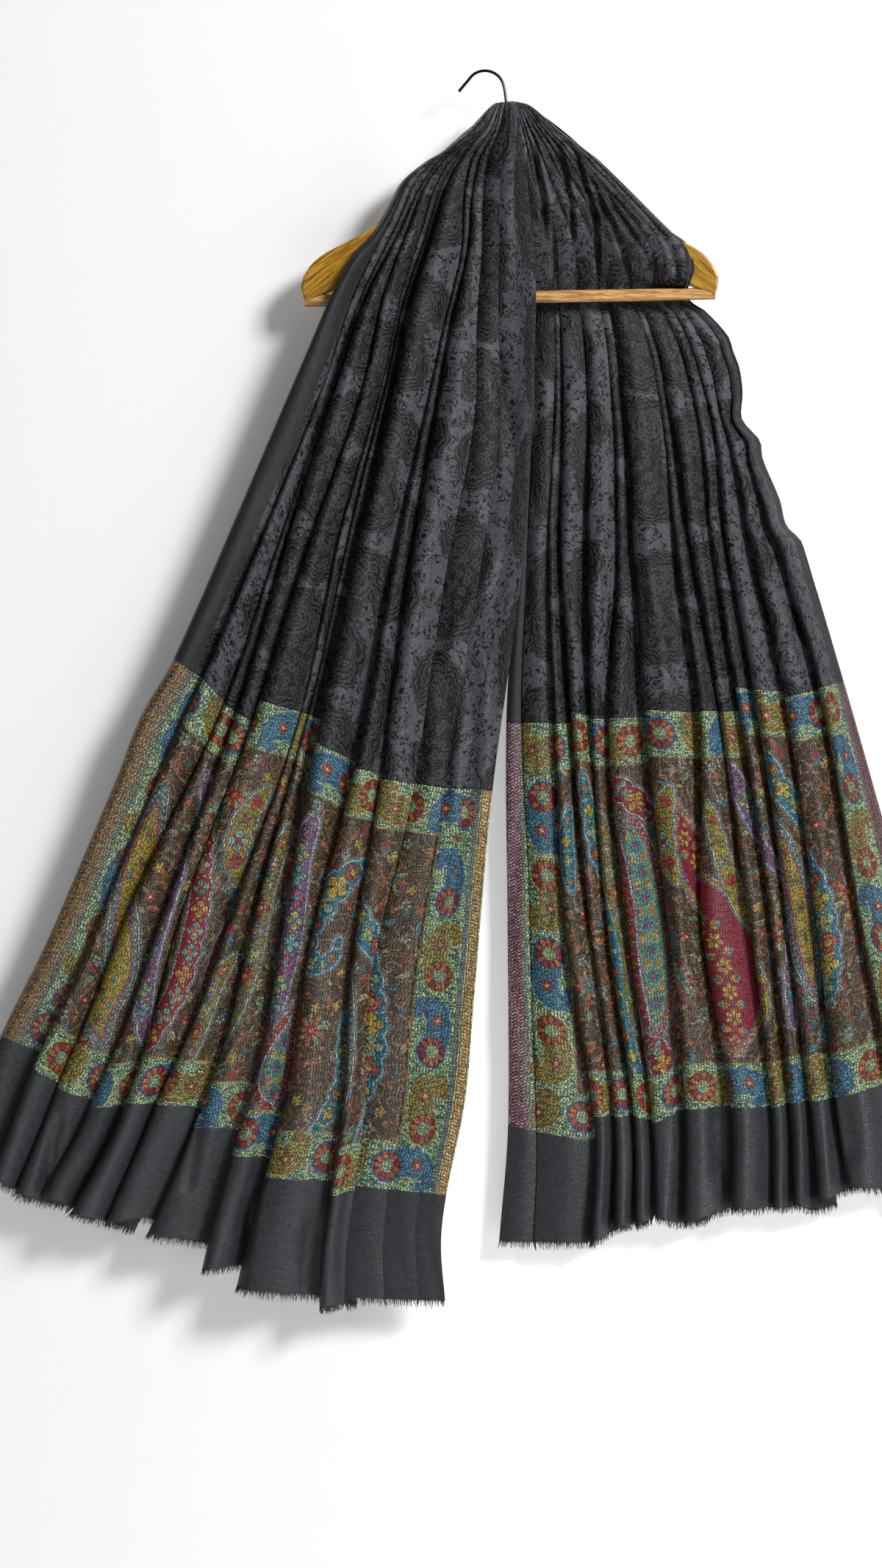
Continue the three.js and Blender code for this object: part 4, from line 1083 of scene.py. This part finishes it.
def draw_bands(pen, colour, rough):
    """The scalloped bands, with a flower in every scallop."""
    s, d, wide = pen.split(pen.attribute("band"))
    kind, side, _ = pen.split(pen.attribute("band_make"))
    pitch = 21.0
    turn = pen.maths("FRACT", s / pitch)
    count = pen.maths("FLOORED_MODULO", pen.maths("FLOOR", s / pitch), 3.0)
    bump = turn * (1.0 - turn) * 4.0
    scalloped = side * pen.below(-d, 0.0, 0.05)
    reach = wide * (1.0 - scalloped * 0.34 * (1.0 - bump))
    edge = abs(d) - reach + rough
    body, petal, other, heart_hue, rim = (
        palette(pen, kind, name) for name in ("body", "petal", "other", "heart", "rim"))
    colour = outlines(pen, colour, edge, (
        (5.0, rgb("77784a")), (4.2, rgb(SKY)), (3.1, rgb(DARK)), (2.4, rgb(WHITE)), (1.1, rim), (0.0, body)))
    within, gap_hue = pen.below(edge, -0.6), rgb("28323a")
    x, y, radius = (turn - 0.5) * pitch, d - scalloped * 0.5, wide * 0.84
    whole, gaps, heart = flower(pen, x, y, radius, 4)
    whole, heart = whole * within, heart * within
    bloom = pen.paint(pen.below(count, 1.5, 0.1), rgb("8db7a5"), other)
    bloom = pen.paint(pen.below(count, 0.5, 0.1), bloom, petal)
    lined, _, _ = flower(pen, x, y, radius + 0.9, 4)
    colour = pen.paint(lined * within * 0.8, colour, gap_hue)
    colour = pen.paint(whole, colour, bloom)
    colour = pen.paint(whole * gaps, colour, gap_hue)
    colour = pen.paint(heart, colour, heart_hue)
    pips = pen.below(abs(pen.reach(x, y) - wide * 0.52), 0.5, 0.3) * whole
    colour = pen.paint(pips * 0.6, colour, heart_hue)
    bead = pen.below(pen.reach(pen.maths("FRACT", turn + 0.5) * pitch - pitch / 2, abs(d) - wide * 0.35), 1.3)
    return pen.paint(bead * within, colour, other)


def draw_frame(pen, colour, u, v, panel, own, gap):
    """The green frame with its small botehs."""
    edge_in = u if panel.flip else CLOTH_WIDE - u
    edge_out = CLOTH_WIDE - edge_in
    head, foot = pen.below(v, FRAME_WIDE, 0.02), pen.below(-v, FRAME_WIDE - panel.long, 0.02)
    inner = pen.below(edge_in, CLOTH_WIDE / 2, 0.02)
    side = pen.choose(
        inner, edge_out - OUTER_SELVEDGE - FRAME_WIDE / 2, edge_in - INNER_SELVEDGE - FRAME_WIDE / 2)
    run = pen.choose(inner, v * panel.outer[0] + panel.outer[1], v * panel.inner[0] + panel.inner[1])
    p = pen.choose(head, run, u * panel.head[0] + panel.head[1])
    p = pen.choose(foot, p, u * panel.foot[0] + panel.foot[1])
    q = pen.choose(head, side, v - FRAME_WIDE / 2)
    q = pen.choose(foot, q, v - (panel.long - FRAME_WIDE / 2))
    row = pen.most(head, foot)
    sides = pen.below(side, FRAME_WIDE / 2)
    within = pen.most(sides, row)
    green = pen.paint(own, rgb("86b58c"), rgb("c2d8a4"))
    green = pen.paint(pen.below(gap, 0.42, 0.16) * 0.9, green, rgb("1c241c"))
    green = pen.paint(pen.below(own, 0.2, 0.02) * 0.7, green, rgb("4f8a80"))
    out = pen.maths("FLOORED_MODULO", pen.maths("FLOOR", p / TILE), 2.0)
    p = pen.maths("FLOORED_MODULO", p, TILE) - 52.0
    q = q * (1.0 - out * 2.0)
    jag = (own - 0.5) * 1.2
    far = boteh(pen, p, q, 15.0) + jag
    reach, turn = pen.reach(p, q), pen.maths("ARCTAN2", q, p)
    body = pen.paint(out, rgb("4a98b4"), rgb("b9a544"))
    edge_line = pen.paint(out, rgb("5b6296"), rgb("9a6a34"))
    green = pen.paint(pen.below(far, 1.6), green, pen.paint(out, rgb("6fa6b8"), rgb("c8b860")))
    green = pen.paint(pen.below(far, 0.7), green, edge_line)
    green = pen.paint(pen.below(far, -0.5) * (0.64 + own * 0.36), green, body)
    lines = pen.below(pen.apart(far / 3.4 + 30.0), 0.2, 0.08) * pen.below(far, -1.4)
    green = pen.paint(lines * 0.9, green, pen.paint(out, rgb("1b4a66"), rgb("5f5a26")))
    veins = pen.below(abs(pen.maths("SINE", p * 0.9 + abs(q) * 0.55)), 0.25, 0.12) * pen.below(far, -3.4)
    green = pen.paint(veins * 0.8, green, pen.paint(out, rgb("8fc4cc"), rgb("7fae8c")))
    petal = turn * (11 / math.tau) + 26.5
    beside = pen.apart(petal)
    tip = 14.4 - beside * beside * 22.0
    warm = pen.below(pen.random(pen.maths("FLOOR", petal), out + 3.0), 0.55, 0.02)
    green = pen.paint(pen.below(reach + jag, 14.6), green, pen.paint(out, rgb("5d5a94"), rgb("7a6c34")))
    green = pen.paint(pen.below(reach - tip + jag, 0.6), green, rgb("2c2a22"))
    green = pen.paint(pen.below(reach - tip + jag, 0.0), green, pen.paint(warm, rgb("d9743c"), rgb("b22f38")))
    green = pen.paint(pen.below(-beside, -0.37, 0.05) * pen.below(reach, 14.0) * 0.85, green, rgb("33302a"))
    green = pen.paint(pen.below(reach, 6.9), green, rgb("2f4a38"))
    green = pen.paint(pen.below(reach, 6.3), green, rgb("a3c89a"))
    rays = pen.below(beside, 0.14, 0.06) * pen.between(reach, 2.4, 5.7)
    green = pen.paint(rays * 0.7, green, rgb("4f7a58"))
    green = pen.paint(pen.below(reach, 1.8), green, rgb("d9b85a"))
    whole, gaps, heart = flower(pen, p + 31.0, q + 3.0, 5.8, 5)
    lined, _, _ = flower(pen, p + 31.0, q + 3.0, 6.6, 5)
    green = pen.paint(lined, green, rgb("2a2a2e"))
    green = pen.paint(whole, green, pen.paint(out, rgb("cf5436"), rgb("c2603a")))
    green = pen.paint(whole * gaps, green, rgb("2a2a2e"))
    green = pen.paint(heart, green, rgb("e4d3a0"))
    colour = pen.paint(within, colour, green)
    seam_wide, half_long = 1.6, panel.long / 2
    across = pen.between(abs(v - half_long), half_long - FRAME_WIDE - seam_wide, half_long - FRAME_WIDE)
    down = pen.between(side, FRAME_WIDE / 2, FRAME_WIDE / 2 + seam_wide)
    seam = pen.most(across * (1.0 - sides), down * (1.0 - row))
    return pen.paint(seam, colour, rgb("a89a58")), edge_in, edge_out


def stripe(pen, colour, at, low, high, code):
    return pen.paint(pen.between(at, low, high), colour, rgb(code))


def left_selvedges(pen, colour, v, inner, outer):
    """Yellow with red rungs at the inner edge, and orange-brown twill at the outer one."""
    colour = stripe(pen, colour, inner, -1.0, INNER_SELVEDGE, "6f8f6c")
    dots = pen.below(pen.apart(v / 2.6), 0.25, 0.1)
    colour = pen.paint(pen.between(inner, 13.6, 16.2), colour, pen.paint(dots, rgb("5c5a86"), rgb("a9a2b4")))
    colour = stripe(pen, colour, inner, -1.0, 12.2, "e6dc90")
    rung = pen.below(pen.apart(v / 3.3 + inner * 0.08), 0.2, 0.08)
    colour = pen.paint(rung * pen.between(inner, 3.4, 9.2), colour, rgb("c8502e"))
    colour = stripe(pen, colour, inner, 9.9, 10.9, "4c5230")
    colour = stripe(pen, colour, inner, 1.6, 2.6, "5d5a30")
    colour = stripe(pen, colour, outer, -1.0, OUTER_SELVEDGE, "7c774e")
    twill = pen.maths("FRACT", v / 2.6 + outer / 3.0)
    colour = pen.paint(pen.below(twill, 0.4, 0.1) * pen.between(outer, 2.5, 21.0), colour, rgb("b3a862"))
    x = (pen.maths("FRACT", outer / 6.4) - 0.5) * 6.4
    y = (pen.maths("FRACT", v / 5.2 + pen.maths("FLOOR", outer / 6.4) * 0.5) - 0.5) * 5.2
    tufts = pen.below(pen.reach(x * 0.8, y + x * 0.5), 1.5, 0.4) * pen.between(outer, 1.5, 21.0)
    colour = pen.paint(tufts, colour, rgb("b04a2c"))
    colour = stripe(pen, colour, outer, -1.0, 2.2, "6e4a30")
    return pen.paint(pen.between(outer, 21.5, 24.5), colour, pen.paint(dots, rgb("4c5474"), rgb("a9ab98")))


def right_selvedges(pen, colour, v, inner, outer):
    """Pink herringbone at the inner edge, and maroon with small diamonds at the outer one."""
    colour = stripe(pen, colour, inner, -1.0, INNER_SELVEDGE, "6f8f6c")
    dots = pen.below(pen.apart(v / 2.6), 0.25, 0.1)
    colour = pen.paint(pen.between(inner, 14.6, 17.2), colour, pen.paint(dots, rgb("3f4238"), rgb("b9bba6")))
    zig = pen.apart(inner / 7.0) * 7.0
    bone = pen.maths("FRACT", (v + zig * 0.9) / 3.3)
    herring = pen.paint(pen.below(bone, 0.36, 0.1), rgb("922a40"), rgb("cfbdb8"))
    herring = pen.paint(pen.between(bone, 0.5, 0.72, 0.08), herring, rgb("4c4a72"))
    colour = pen.paint(pen.between(inner, -1.0, 14.2), colour, herring)
    colour = stripe(pen, colour, outer, -1.0, OUTER_SELVEDGE, "6e3540")
    lattice = pen.apart(v / 6.0) * 6.0 + pen.apart(outer / 8.0) * 8.0
    colour = pen.paint(pen.between(lattice, 2.2, 3.4) * pen.below(outer, 22.0), colour, rgb("a48a86"))
    return pen.paint(pen.between(outer, 22.5, 25.0), colour, pen.paint(dots, rgb("3f4238"), rgb("b9bba6")))


def panel_cloth(name, panel, selvedges):
    """The many-coloured weave of one panel."""
    pen = Pen(name, Specular_IOR_Level=0.38)
    u, v = pen.cloth()
    v = v - float(panel.start)
    own, gap = threads(pen, u, v, 3.2, 1.35)
    fine, fine_gap = threads(pen, u, v, 1.9, 0.75)
    rough = (own - 0.5) * 0.9
    colour = draw_ground(pen, u + (fine - 0.5) * 0.7, v, fine)
    colour = draw_suns(pen, colour)
    colour = draw_figures(pen, colour, rough)
    colour = draw_bands(pen, colour, rough)
    colour, inner, outer = draw_frame(pen, colour, u, v, panel, own, gap)
    colour = selvedges(pen, colour, v, inner, outer)
    colour = pen.tint(colour, -0.07 + gap * (0.32 + own * 0.78) + fine * 0.2)
    stray = pen.below(pen.random(pen.maths("FLOOR", u / 2.3), pen.maths("FLOOR", v / 0.9)), 0.16, 0.02)
    colour = pen.paint(stray * 0.6, colour, rgb("1e1c18"))
    return pen.finish(colour, roughness=0.33, height=gap * 0.8 + fine_gap * 0.2, depth=0.4)


# ---- wood, steel and yarn ----------------------------------------------------------------

def wood(name, light, mid, dark, slope):
    """Open-grained wood whose grain runs along X at a slope."""
    pen = Pen(name, Roughness=0.42, Coat_Weight=0.1, Coat_Roughness=0.3)
    x, y, z = pen.place()
    c, s = math.cos(slope), math.sin(slope)
    g, h = abs(x) * c - z * s, abs(x) * s + z * c
    bow = pen.noise(g / 60, h / 14, y / 14, 2.0)
    grain = pen.noise(g / 38, (h + bow * 9.0) / 1.6, y / 3.0, 3.0, 0.6)
    pores = pen.noise(g / 9, h / 0.55, y / 1.2, 2.0, 0.7)
    colour = pen.ramp(grain, [(0.3, dark), (0.48, mid), (0.66, light)])
    colour = pen.paint(pen.below(pores, 0.43, 0.05) * 0.62, colour, dark)
    return pen.finish(colour, height=pores, depth=0.08)


def steel(name, colour):
    return Pen(name, Metallic=1.0, Roughness=0.36).finish(colour)


def yarn(name, colour):
    pen = Pen(name, Roughness=0.75)
    x, _, _ = pen.place()
    return pen.finish(pen.tint(colour, 0.6 + pen.random(pen.maths("FLOOR", x / 0.6), 1.0) * 0.8))


# ---- what a user would change ------------------------------------------------------------

def length(name, description, default):
    return bpy.props.FloatProperty(
        name=name, description=description, default=default, min=0.0001, subtype="DISTANCE", unit="LENGTH")


def power(name, description, default):
    return bpy.props.FloatProperty(name=name, description=description, default=default, unit="POWER")


def colour_of(name, description, code):
    return bpy.props.FloatVectorProperty(
        name=name, description=description, default=rgb(code), size=4, min=0, max=1, subtype="COLOR")


class ShawlCloth(bpy.types.PropertyGroup):
    """Sizes and colours of the shawl's plain and figured cloth."""

    thick: length("Thickness", "How thick the cloth is", 0.8 * MM)
    fray: length("Fringe", "Mean length of the frayed warp below the hem", 6.2 * MM)
    satin: colour_of("Satin", "The lighter ground between the field's figures", "55565c")
    figures: colour_of("Figures", "The darker figures of the field", "070708")
    twill: colour_of("Ends", "The plain ends below the panels", "343539")
    yarn: colour_of("Frayed yarn", "The loose warp at the hems", "2c2c2f")


class HangerFinish(bpy.types.PropertyGroup):
    """Colours of the hanger that carries the shawl."""

    oak: colour_of("Arms, light", "The light wood of the arms", "d6a42e")
    oak_mid: colour_of("Arms, grain", "The darker wood of the arms", "a87818")
    bar: colour_of("Bar, light", "The light wood of the bar", "f0c07c")
    bar_mid: colour_of("Bar, grain", "The darker wood of the bar", "d09c5a")
    wire: colour_of("Hook", "The steel of the hook", "2e3033")


class ShawlStage(bpy.types.PropertyGroup):
    """Camera, wall and lamps."""

    away: length("Camera distance", "How far the camera stands from the cloth", 2.4)
    wall: length("Wall distance", "How far the wall stands behind the hook", 0.034)
    key: power("Key lamp", "Power of the lamp at the right", 240)
    fill: power("Fill lamp", "Power of the lamp at the left", 4)
    sky: bpy.props.FloatProperty(
        name="Sky", description="Strength of the even light", default=0.036, min=0, max=1, subtype="FACTOR")


# ---- the pieces --------------------------------------------------------------------------

def finish_named(name, make, *settings):
    """The finish of that name, made the first time that it is asked for."""
    return bpy.data.materials.get(name) or make(name, *settings)


# Where the field's figures begin and end across the cloth. Past CLOTH_WIDE, no plain strip is left.
FIGURED = {"left": (26.0, 1010.0), "right": (18.0, 974.0)}


def field_finish(side, scene):
    low, high = FIGURED[side]
    settings = scene.shawl_cloth
    return finish_named(f"{side}_satin", field_cloth, low, high, tuple(settings.satin), tuple(settings.figures))


def cloth_piece(name, half, start, end, spacing, material, node, thick):
    """One stretch of the shawl."""
    runs = stretch_runs(start, end, spacing)
    points, across = half.surface(runs)
    piece, flat = grid_piece(name, points, across, runs, material, thick)
    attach(piece, "root")
    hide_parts(node)
    (end - start) * MM
    return piece, flat


STRAND_ROOT, STRAND_FOOT, STRAND_TIP = 1.0, 0.5, 0.16  # length set into the hem, and the radii
STRAND_LONG = (3.0, 9.0)
FRAY_FROM_SIDE = 0.6
FRAY_SEED = 5


def fringe_piece(name, half, hem, material, node, fray):
    """The frayed warp: short tapering strands, a little bunched."""
    draw = np.random.default_rng(FRAY_SEED)
    points, _ = half.surface([hem - 6.0, hem])
    steps = np.linalg.norm(np.diff(points[1], axis=0), axis=1)
    at = np.concatenate([[0], np.cumsum(steps)])
    bm = bmesh.new()
    bunch, left = 0.0, 0
    place = FRAY_FROM_SIDE
    while place < at[-1] - FRAY_FROM_SIDE:
        if left == 0:
            left, bunch = draw.integers(2, 9), draw.normal(0, 0.22)
        left -= 1
        base = np.array([np.interp(place, at, points[1][:, k]) for k in range(3)])
        above = np.array([np.interp(place, at, points[0][:, k]) for k in range(3)])
        way = (base - above) / np.linalg.norm(base - above)
        way = way + (bunch * 0.6 + draw.normal(0, 0.12), draw.normal(0, 0.1), 0)
        way = way / np.linalg.norm(way)
        long = float(np.clip(draw.normal(fray / MM, 1.5), *STRAND_LONG))
        made = bmesh.ops.create_cone(
            bm, cap_ends=True, segments=3, radius1=STRAND_FOOT * MM, radius2=STRAND_TIP * MM,
            depth=(long + STRAND_ROOT) * MM)
        middle = base + way * (long / 2 - STRAND_ROOT / 2)
        turn = Vector(way).to_track_quat("Z", "Y").to_matrix().to_4x4()
        turn.translation = Vector(middle * MM)
        bmesh.ops.transform(bm, matrix=turn, verts=made["verts"])
        place += draw.uniform(0.5, 1.0)
    piece = link(name, bm, material)
    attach(piece, "root")
    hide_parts(node)
    return piece


class SHAWL_OT_crown(bpy.types.Operator):
    """Gathers the middle of the shawl round the hanger's neck"""

    bl_idname = "shawl.crown"
    bl_label = "Crown"

    def execute(self, context):
        thick = context.scene.shawl_cloth.thick
        for half, side in ((LEFT, "left"), (RIGHT, "right")):
            cloth_piece(f"{side}_crown", half, CROWN_TOP, 0, 3, field_finish(side, context.scene),
                        "shawl_crown", thick)
        return {"FINISHED"}


class SHAWL_OT_fields(bpy.types.Operator):
    """Hangs the dark figured fields; the right one passes behind the bar below its yoke"""

    bl_idname = "shawl.fields"
    bl_label = "Fields"

    def execute(self, context):
        thick = context.scene.shawl_cloth.thick
        left, right = (field_finish(side, context.scene) for side in ("left", "right"))
        cloth_piece("left_field_cloth", LEFT, 0, LEFT_PANEL, 6.5, left, "left_field",
                    thick)
        cloth_piece("right_yoke_cloth", RIGHT, 0, RIGHT_BAR, 3.5, right, "right_yoke",
                    thick)
        cloth_piece("right_field_cloth", RIGHT, RIGHT_BAR, RIGHT_PANEL, 6.5, right, "right_field",
                    thick)
        return {"FINISHED"}


class SHAWL_OT_panels(bpy.types.Operator):
    """Hangs the two many-coloured woven panels"""

    bl_idname = "shawl.panels"
    bl_label = "Woven panels"

    def execute(self, context):
        for half, side, start, end, woven, selvedges in (
            (LEFT, "left", LEFT_PANEL, LEFT_END, LEFT_WOVEN, left_selvedges),
            (RIGHT, "right", RIGHT_PANEL, RIGHT_END, RIGHT_WOVEN, right_selvedges),
        ):
            weave = finish_named(f"{side}_weave", panel_cloth, woven, selvedges)
            piece, flat = cloth_piece(
                f"{side}_panel_cloth", half, start, end, 6, weave, f"{side}_panel",
                context.scene.shawl_cloth.thick)
            add_marks(piece, flat, woven)
        return {"FINISHED"}


class SHAWL_OT_ends(bpy.types.Operator):
    """Hangs the plain ends, and frays their hems"""

    bl_idname = "shawl.ends"
    bl_label = "Ends and fringes"

    def execute(self, context):
        cloth = context.scene.shawl_cloth
        twill = finish_named("twill", end_cloth, tuple(cloth.twill))
        fray = finish_named("fray", yarn, tuple(cloth.yarn))
        for half, side, start, hem in (
            (LEFT, "left", LEFT_END, LEFT_HEM), (RIGHT, "right", RIGHT_END, RIGHT_HEM),
        ):
            fringe = fringe_piece(f"{side}_fray", half, hem, fray, f"{side}_fringe", cloth.fray)
            cloth_piece(f"{side}_end_cloth", half, start, hem, 5, twill, f"{side}_end",
                        cloth.thick)
        return {"FINISHED"}


class SHAWL_OT_hanger(bpy.types.Operator):
    """Finishes the wooden hanger and its steel hook"""

    bl_idname = "shawl.hanger"
    bl_label = "Hanger"

    def execute(self, context):
        look = context.scene.hanger_finish
        oak = finish_named("oak_grain", wood, tuple(look.oak), tuple(look.oak_mid), rgb("573509"), 0.62)
        bar = finish_named("bar_grain", wood, tuple(look.bar), tuple(look.bar_mid), rgb("6b3f1e"), 0.02)
        wire = finish_named("steel", steel, tuple(look.wire))
        finishes = {"hook": wire, "hanger_arm_left": oak, "hanger_arm_right": oak, "hanger_bar": bar}
        for piece in bpy.data.objects:
            node = piece.name.split(".")[0]
            if piece.type == "MESH" and node in finishes:
                piece.data.materials.clear()
                piece.data.materials.append(finishes[node])
        return {"FINISHED"}


SENSOR_HIGH = 24
IMAGE_HIGH = 2133
PIXEL = 0.0007  # what a pixel of the image spans at the cloth, in metres
MIDDLE = (-0.042, -0.008, -0.680)  # the point of the cloth that the camera faces
WALL_TOP, WALL_HIGH, HALF_WIDE = 1.6, 3.2, 3.0
BEND_LONG = 0.5  # the length of the curve from the wall to the floor
BEND = BEND_LONG / (math.pi / 2)
BACK_POWER = 15


def wall_paint(name):
    """White, with painted light: the wall glows by its own emission, weakly at the left and strongly from the
    middle to the right, which lightens it and the shadows cast on it. It is seen only from the front, so that
    views from behind look through it.
    """
    pen = Pen(name, Roughness=0.9)
    for socket in ("Base Color", "Emission Color"):
        pen.feed(pen.shader.inputs[socket], rgb("f8f9fa"))
    x, _, _ = pen.split(pen.node("ShaderNodeTexCoord", {}, output="Object"))
    # painted light: the wall's own emission, 0.085 at the left rising to 0.38 from the middle rightwards, lightens
    # the wall and the shadows that fall on it
    painted_glow = pen.node(
        "ShaderNodeMapRange", {0: x, 1: -0.14, 2: 0.0, 3: 0.085, 4: 0.38}, interpolation_type="SMOOTHSTEP")
    pen.feed(pen.shader.inputs["Emission Strength"], painted_glow)
    behind = pen.node("ShaderNodeNewGeometry", {}, output="Backfacing")
    clear = pen.tree.nodes.new("ShaderNodeBsdfTransparent")
    swap = pen.tree.nodes.new("ShaderNodeMixShader")
    pen.tree.links.new(behind.socket, swap.inputs[0])
    pen.tree.links.new(pen.shader.outputs[0], swap.inputs[1])
    pen.tree.links.new(clear.outputs[0], swap.inputs[2])
    out = next(n for n in pen.tree.nodes if n.type == "OUTPUT_MATERIAL")
    pen.tree.links.new(swap.outputs[0], out.inputs["Surface"])
    return pen.material


class SHAWL_OT_stage(bpy.types.Operator):
    """Sets the camera, the wall that runs out into a floor, and the lamps"""

    bl_idname = "shawl.stage"
    bl_label = "Stage"

    def execute(self, context):
        stage, scene = context.scene.shawl_stage, context.scene
        camera = bpy.data.objects.new("camera", bpy.data.cameras.new("camera"))
        camera.data.sensor_fit = "VERTICAL"
        camera.data.sensor_height = SENSOR_HIGH
        camera.data.lens = SENSOR_HIGH / 2 / (IMAGE_HIGH / 2 * PIXEL / stage.away)
        camera.location = (MIDDLE[0], MIDDLE[1] - stage.away, MIDDLE[2])
        camera.rotation_euler = (math.radians(90), 0, 0)
        scene.collection.objects.link(camera)
        scene.camera = camera
        bm = bmesh.new()
        bmesh.ops.create_grid(bm, x_segments=40, y_segments=1, size=HALF_WIDE)
        for vert in bm.verts:
            side, place = vert.co.y, vert.co.x + HALF_WIDE
            turn = min(max((place - WALL_HIGH) / BEND_LONG, 0), 1) * math.pi / 2
            down = min(place, WALL_HIGH) + BEND * math.sin(turn)
            fore = BEND * (1 - math.cos(turn)) + max(place - WALL_HIGH - BEND_LONG, 0)
            vert.co = (side, stage.wall - fore, WALL_TOP - down)
        wall = link("wall", bm, finish_named("wall", wall_paint))
        wall.visible_shadow = False
        for place, aim_at, size, energy in (
            ((3.0, -2.8, 1.7), (-0.1, 0, -0.65), 1.2, stage.key),
            ((-1.5, -2.4, 0.3), (0, 0, -0.6), 1.0, stage.fill),
            ((0.6, 2.2, 1.0), (0, 0, -0.4), 2.0, BACK_POWER),
        ):
            lamp = bpy.data.objects.new("lamp", bpy.data.lights.new("lamp", "AREA"))
            lamp.data.size, lamp.data.energy = size, energy
            lamp.location = place
            lamp.rotation_euler = (Vector(aim_at) - lamp.location).to_track_quat("-Z", "Y").to_euler()
            scene.collection.objects.link(lamp)
        world = bpy.data.worlds.new("world")
        scene.world = world
        world.use_nodes = True
        world.node_tree.nodes["Background"].inputs[0].default_value = (0.93, 0.95, 0.97, 1)
        world.node_tree.nodes["Background"].inputs[1].default_value = stage.sky
        scene.view_settings.view_transform = "Standard"
        return {"FINISHED"}


class SHAWL_PT_side(bpy.types.Panel):
    """The settings and the steps, in the sidebar"""

    bl_idname = "SHAWL_PT_side"
    bl_label = "Shawl on a hanger"
    bl_space_type = "VIEW_3D"
    bl_region_type = "UI"
    bl_category = "Shawl"

    def draw(self, context):
        for group in (context.scene.shawl_cloth, context.scene.hanger_finish, context.scene.shawl_stage):
            box = self.layout.box()
            for name in group.__annotations__:
                box.prop(group, name)
        for operator in OPERATORS:
            self.layout.operator(operator.bl_idname)


OPERATORS = (SHAWL_OT_stage, SHAWL_OT_hanger, SHAWL_OT_crown, SHAWL_OT_fields, SHAWL_OT_panels, SHAWL_OT_ends)
CLASSES = (ShawlCloth, HangerFinish, ShawlStage, *OPERATORS, SHAWL_PT_side)


def register():
    for cls in CLASSES:
        bpy.utils.register_class(cls)
    bpy.types.Scene.shawl_cloth = bpy.props.PointerProperty(type=ShawlCloth)
    bpy.types.Scene.hanger_finish = bpy.props.PointerProperty(type=HangerFinish)
    bpy.types.Scene.shawl_stage = bpy.props.PointerProperty(type=ShawlStage)


def unregister():
    del bpy.types.Scene.shawl_stage, bpy.types.Scene.hanger_finish, bpy.types.Scene.shawl_cloth
    for cls in reversed(CLASSES):
        bpy.utils.unregister_class(cls)


def main():
    register()
    bpy.ops.shawl.stage()
    bpy.ops.shawl.hanger()
    bpy.ops.shawl.crown()
    bpy.ops.shawl.fields()
    bpy.ops.shawl.panels()
    bpy.ops.shawl.ends()


if __name__ == "__main__":
    main()
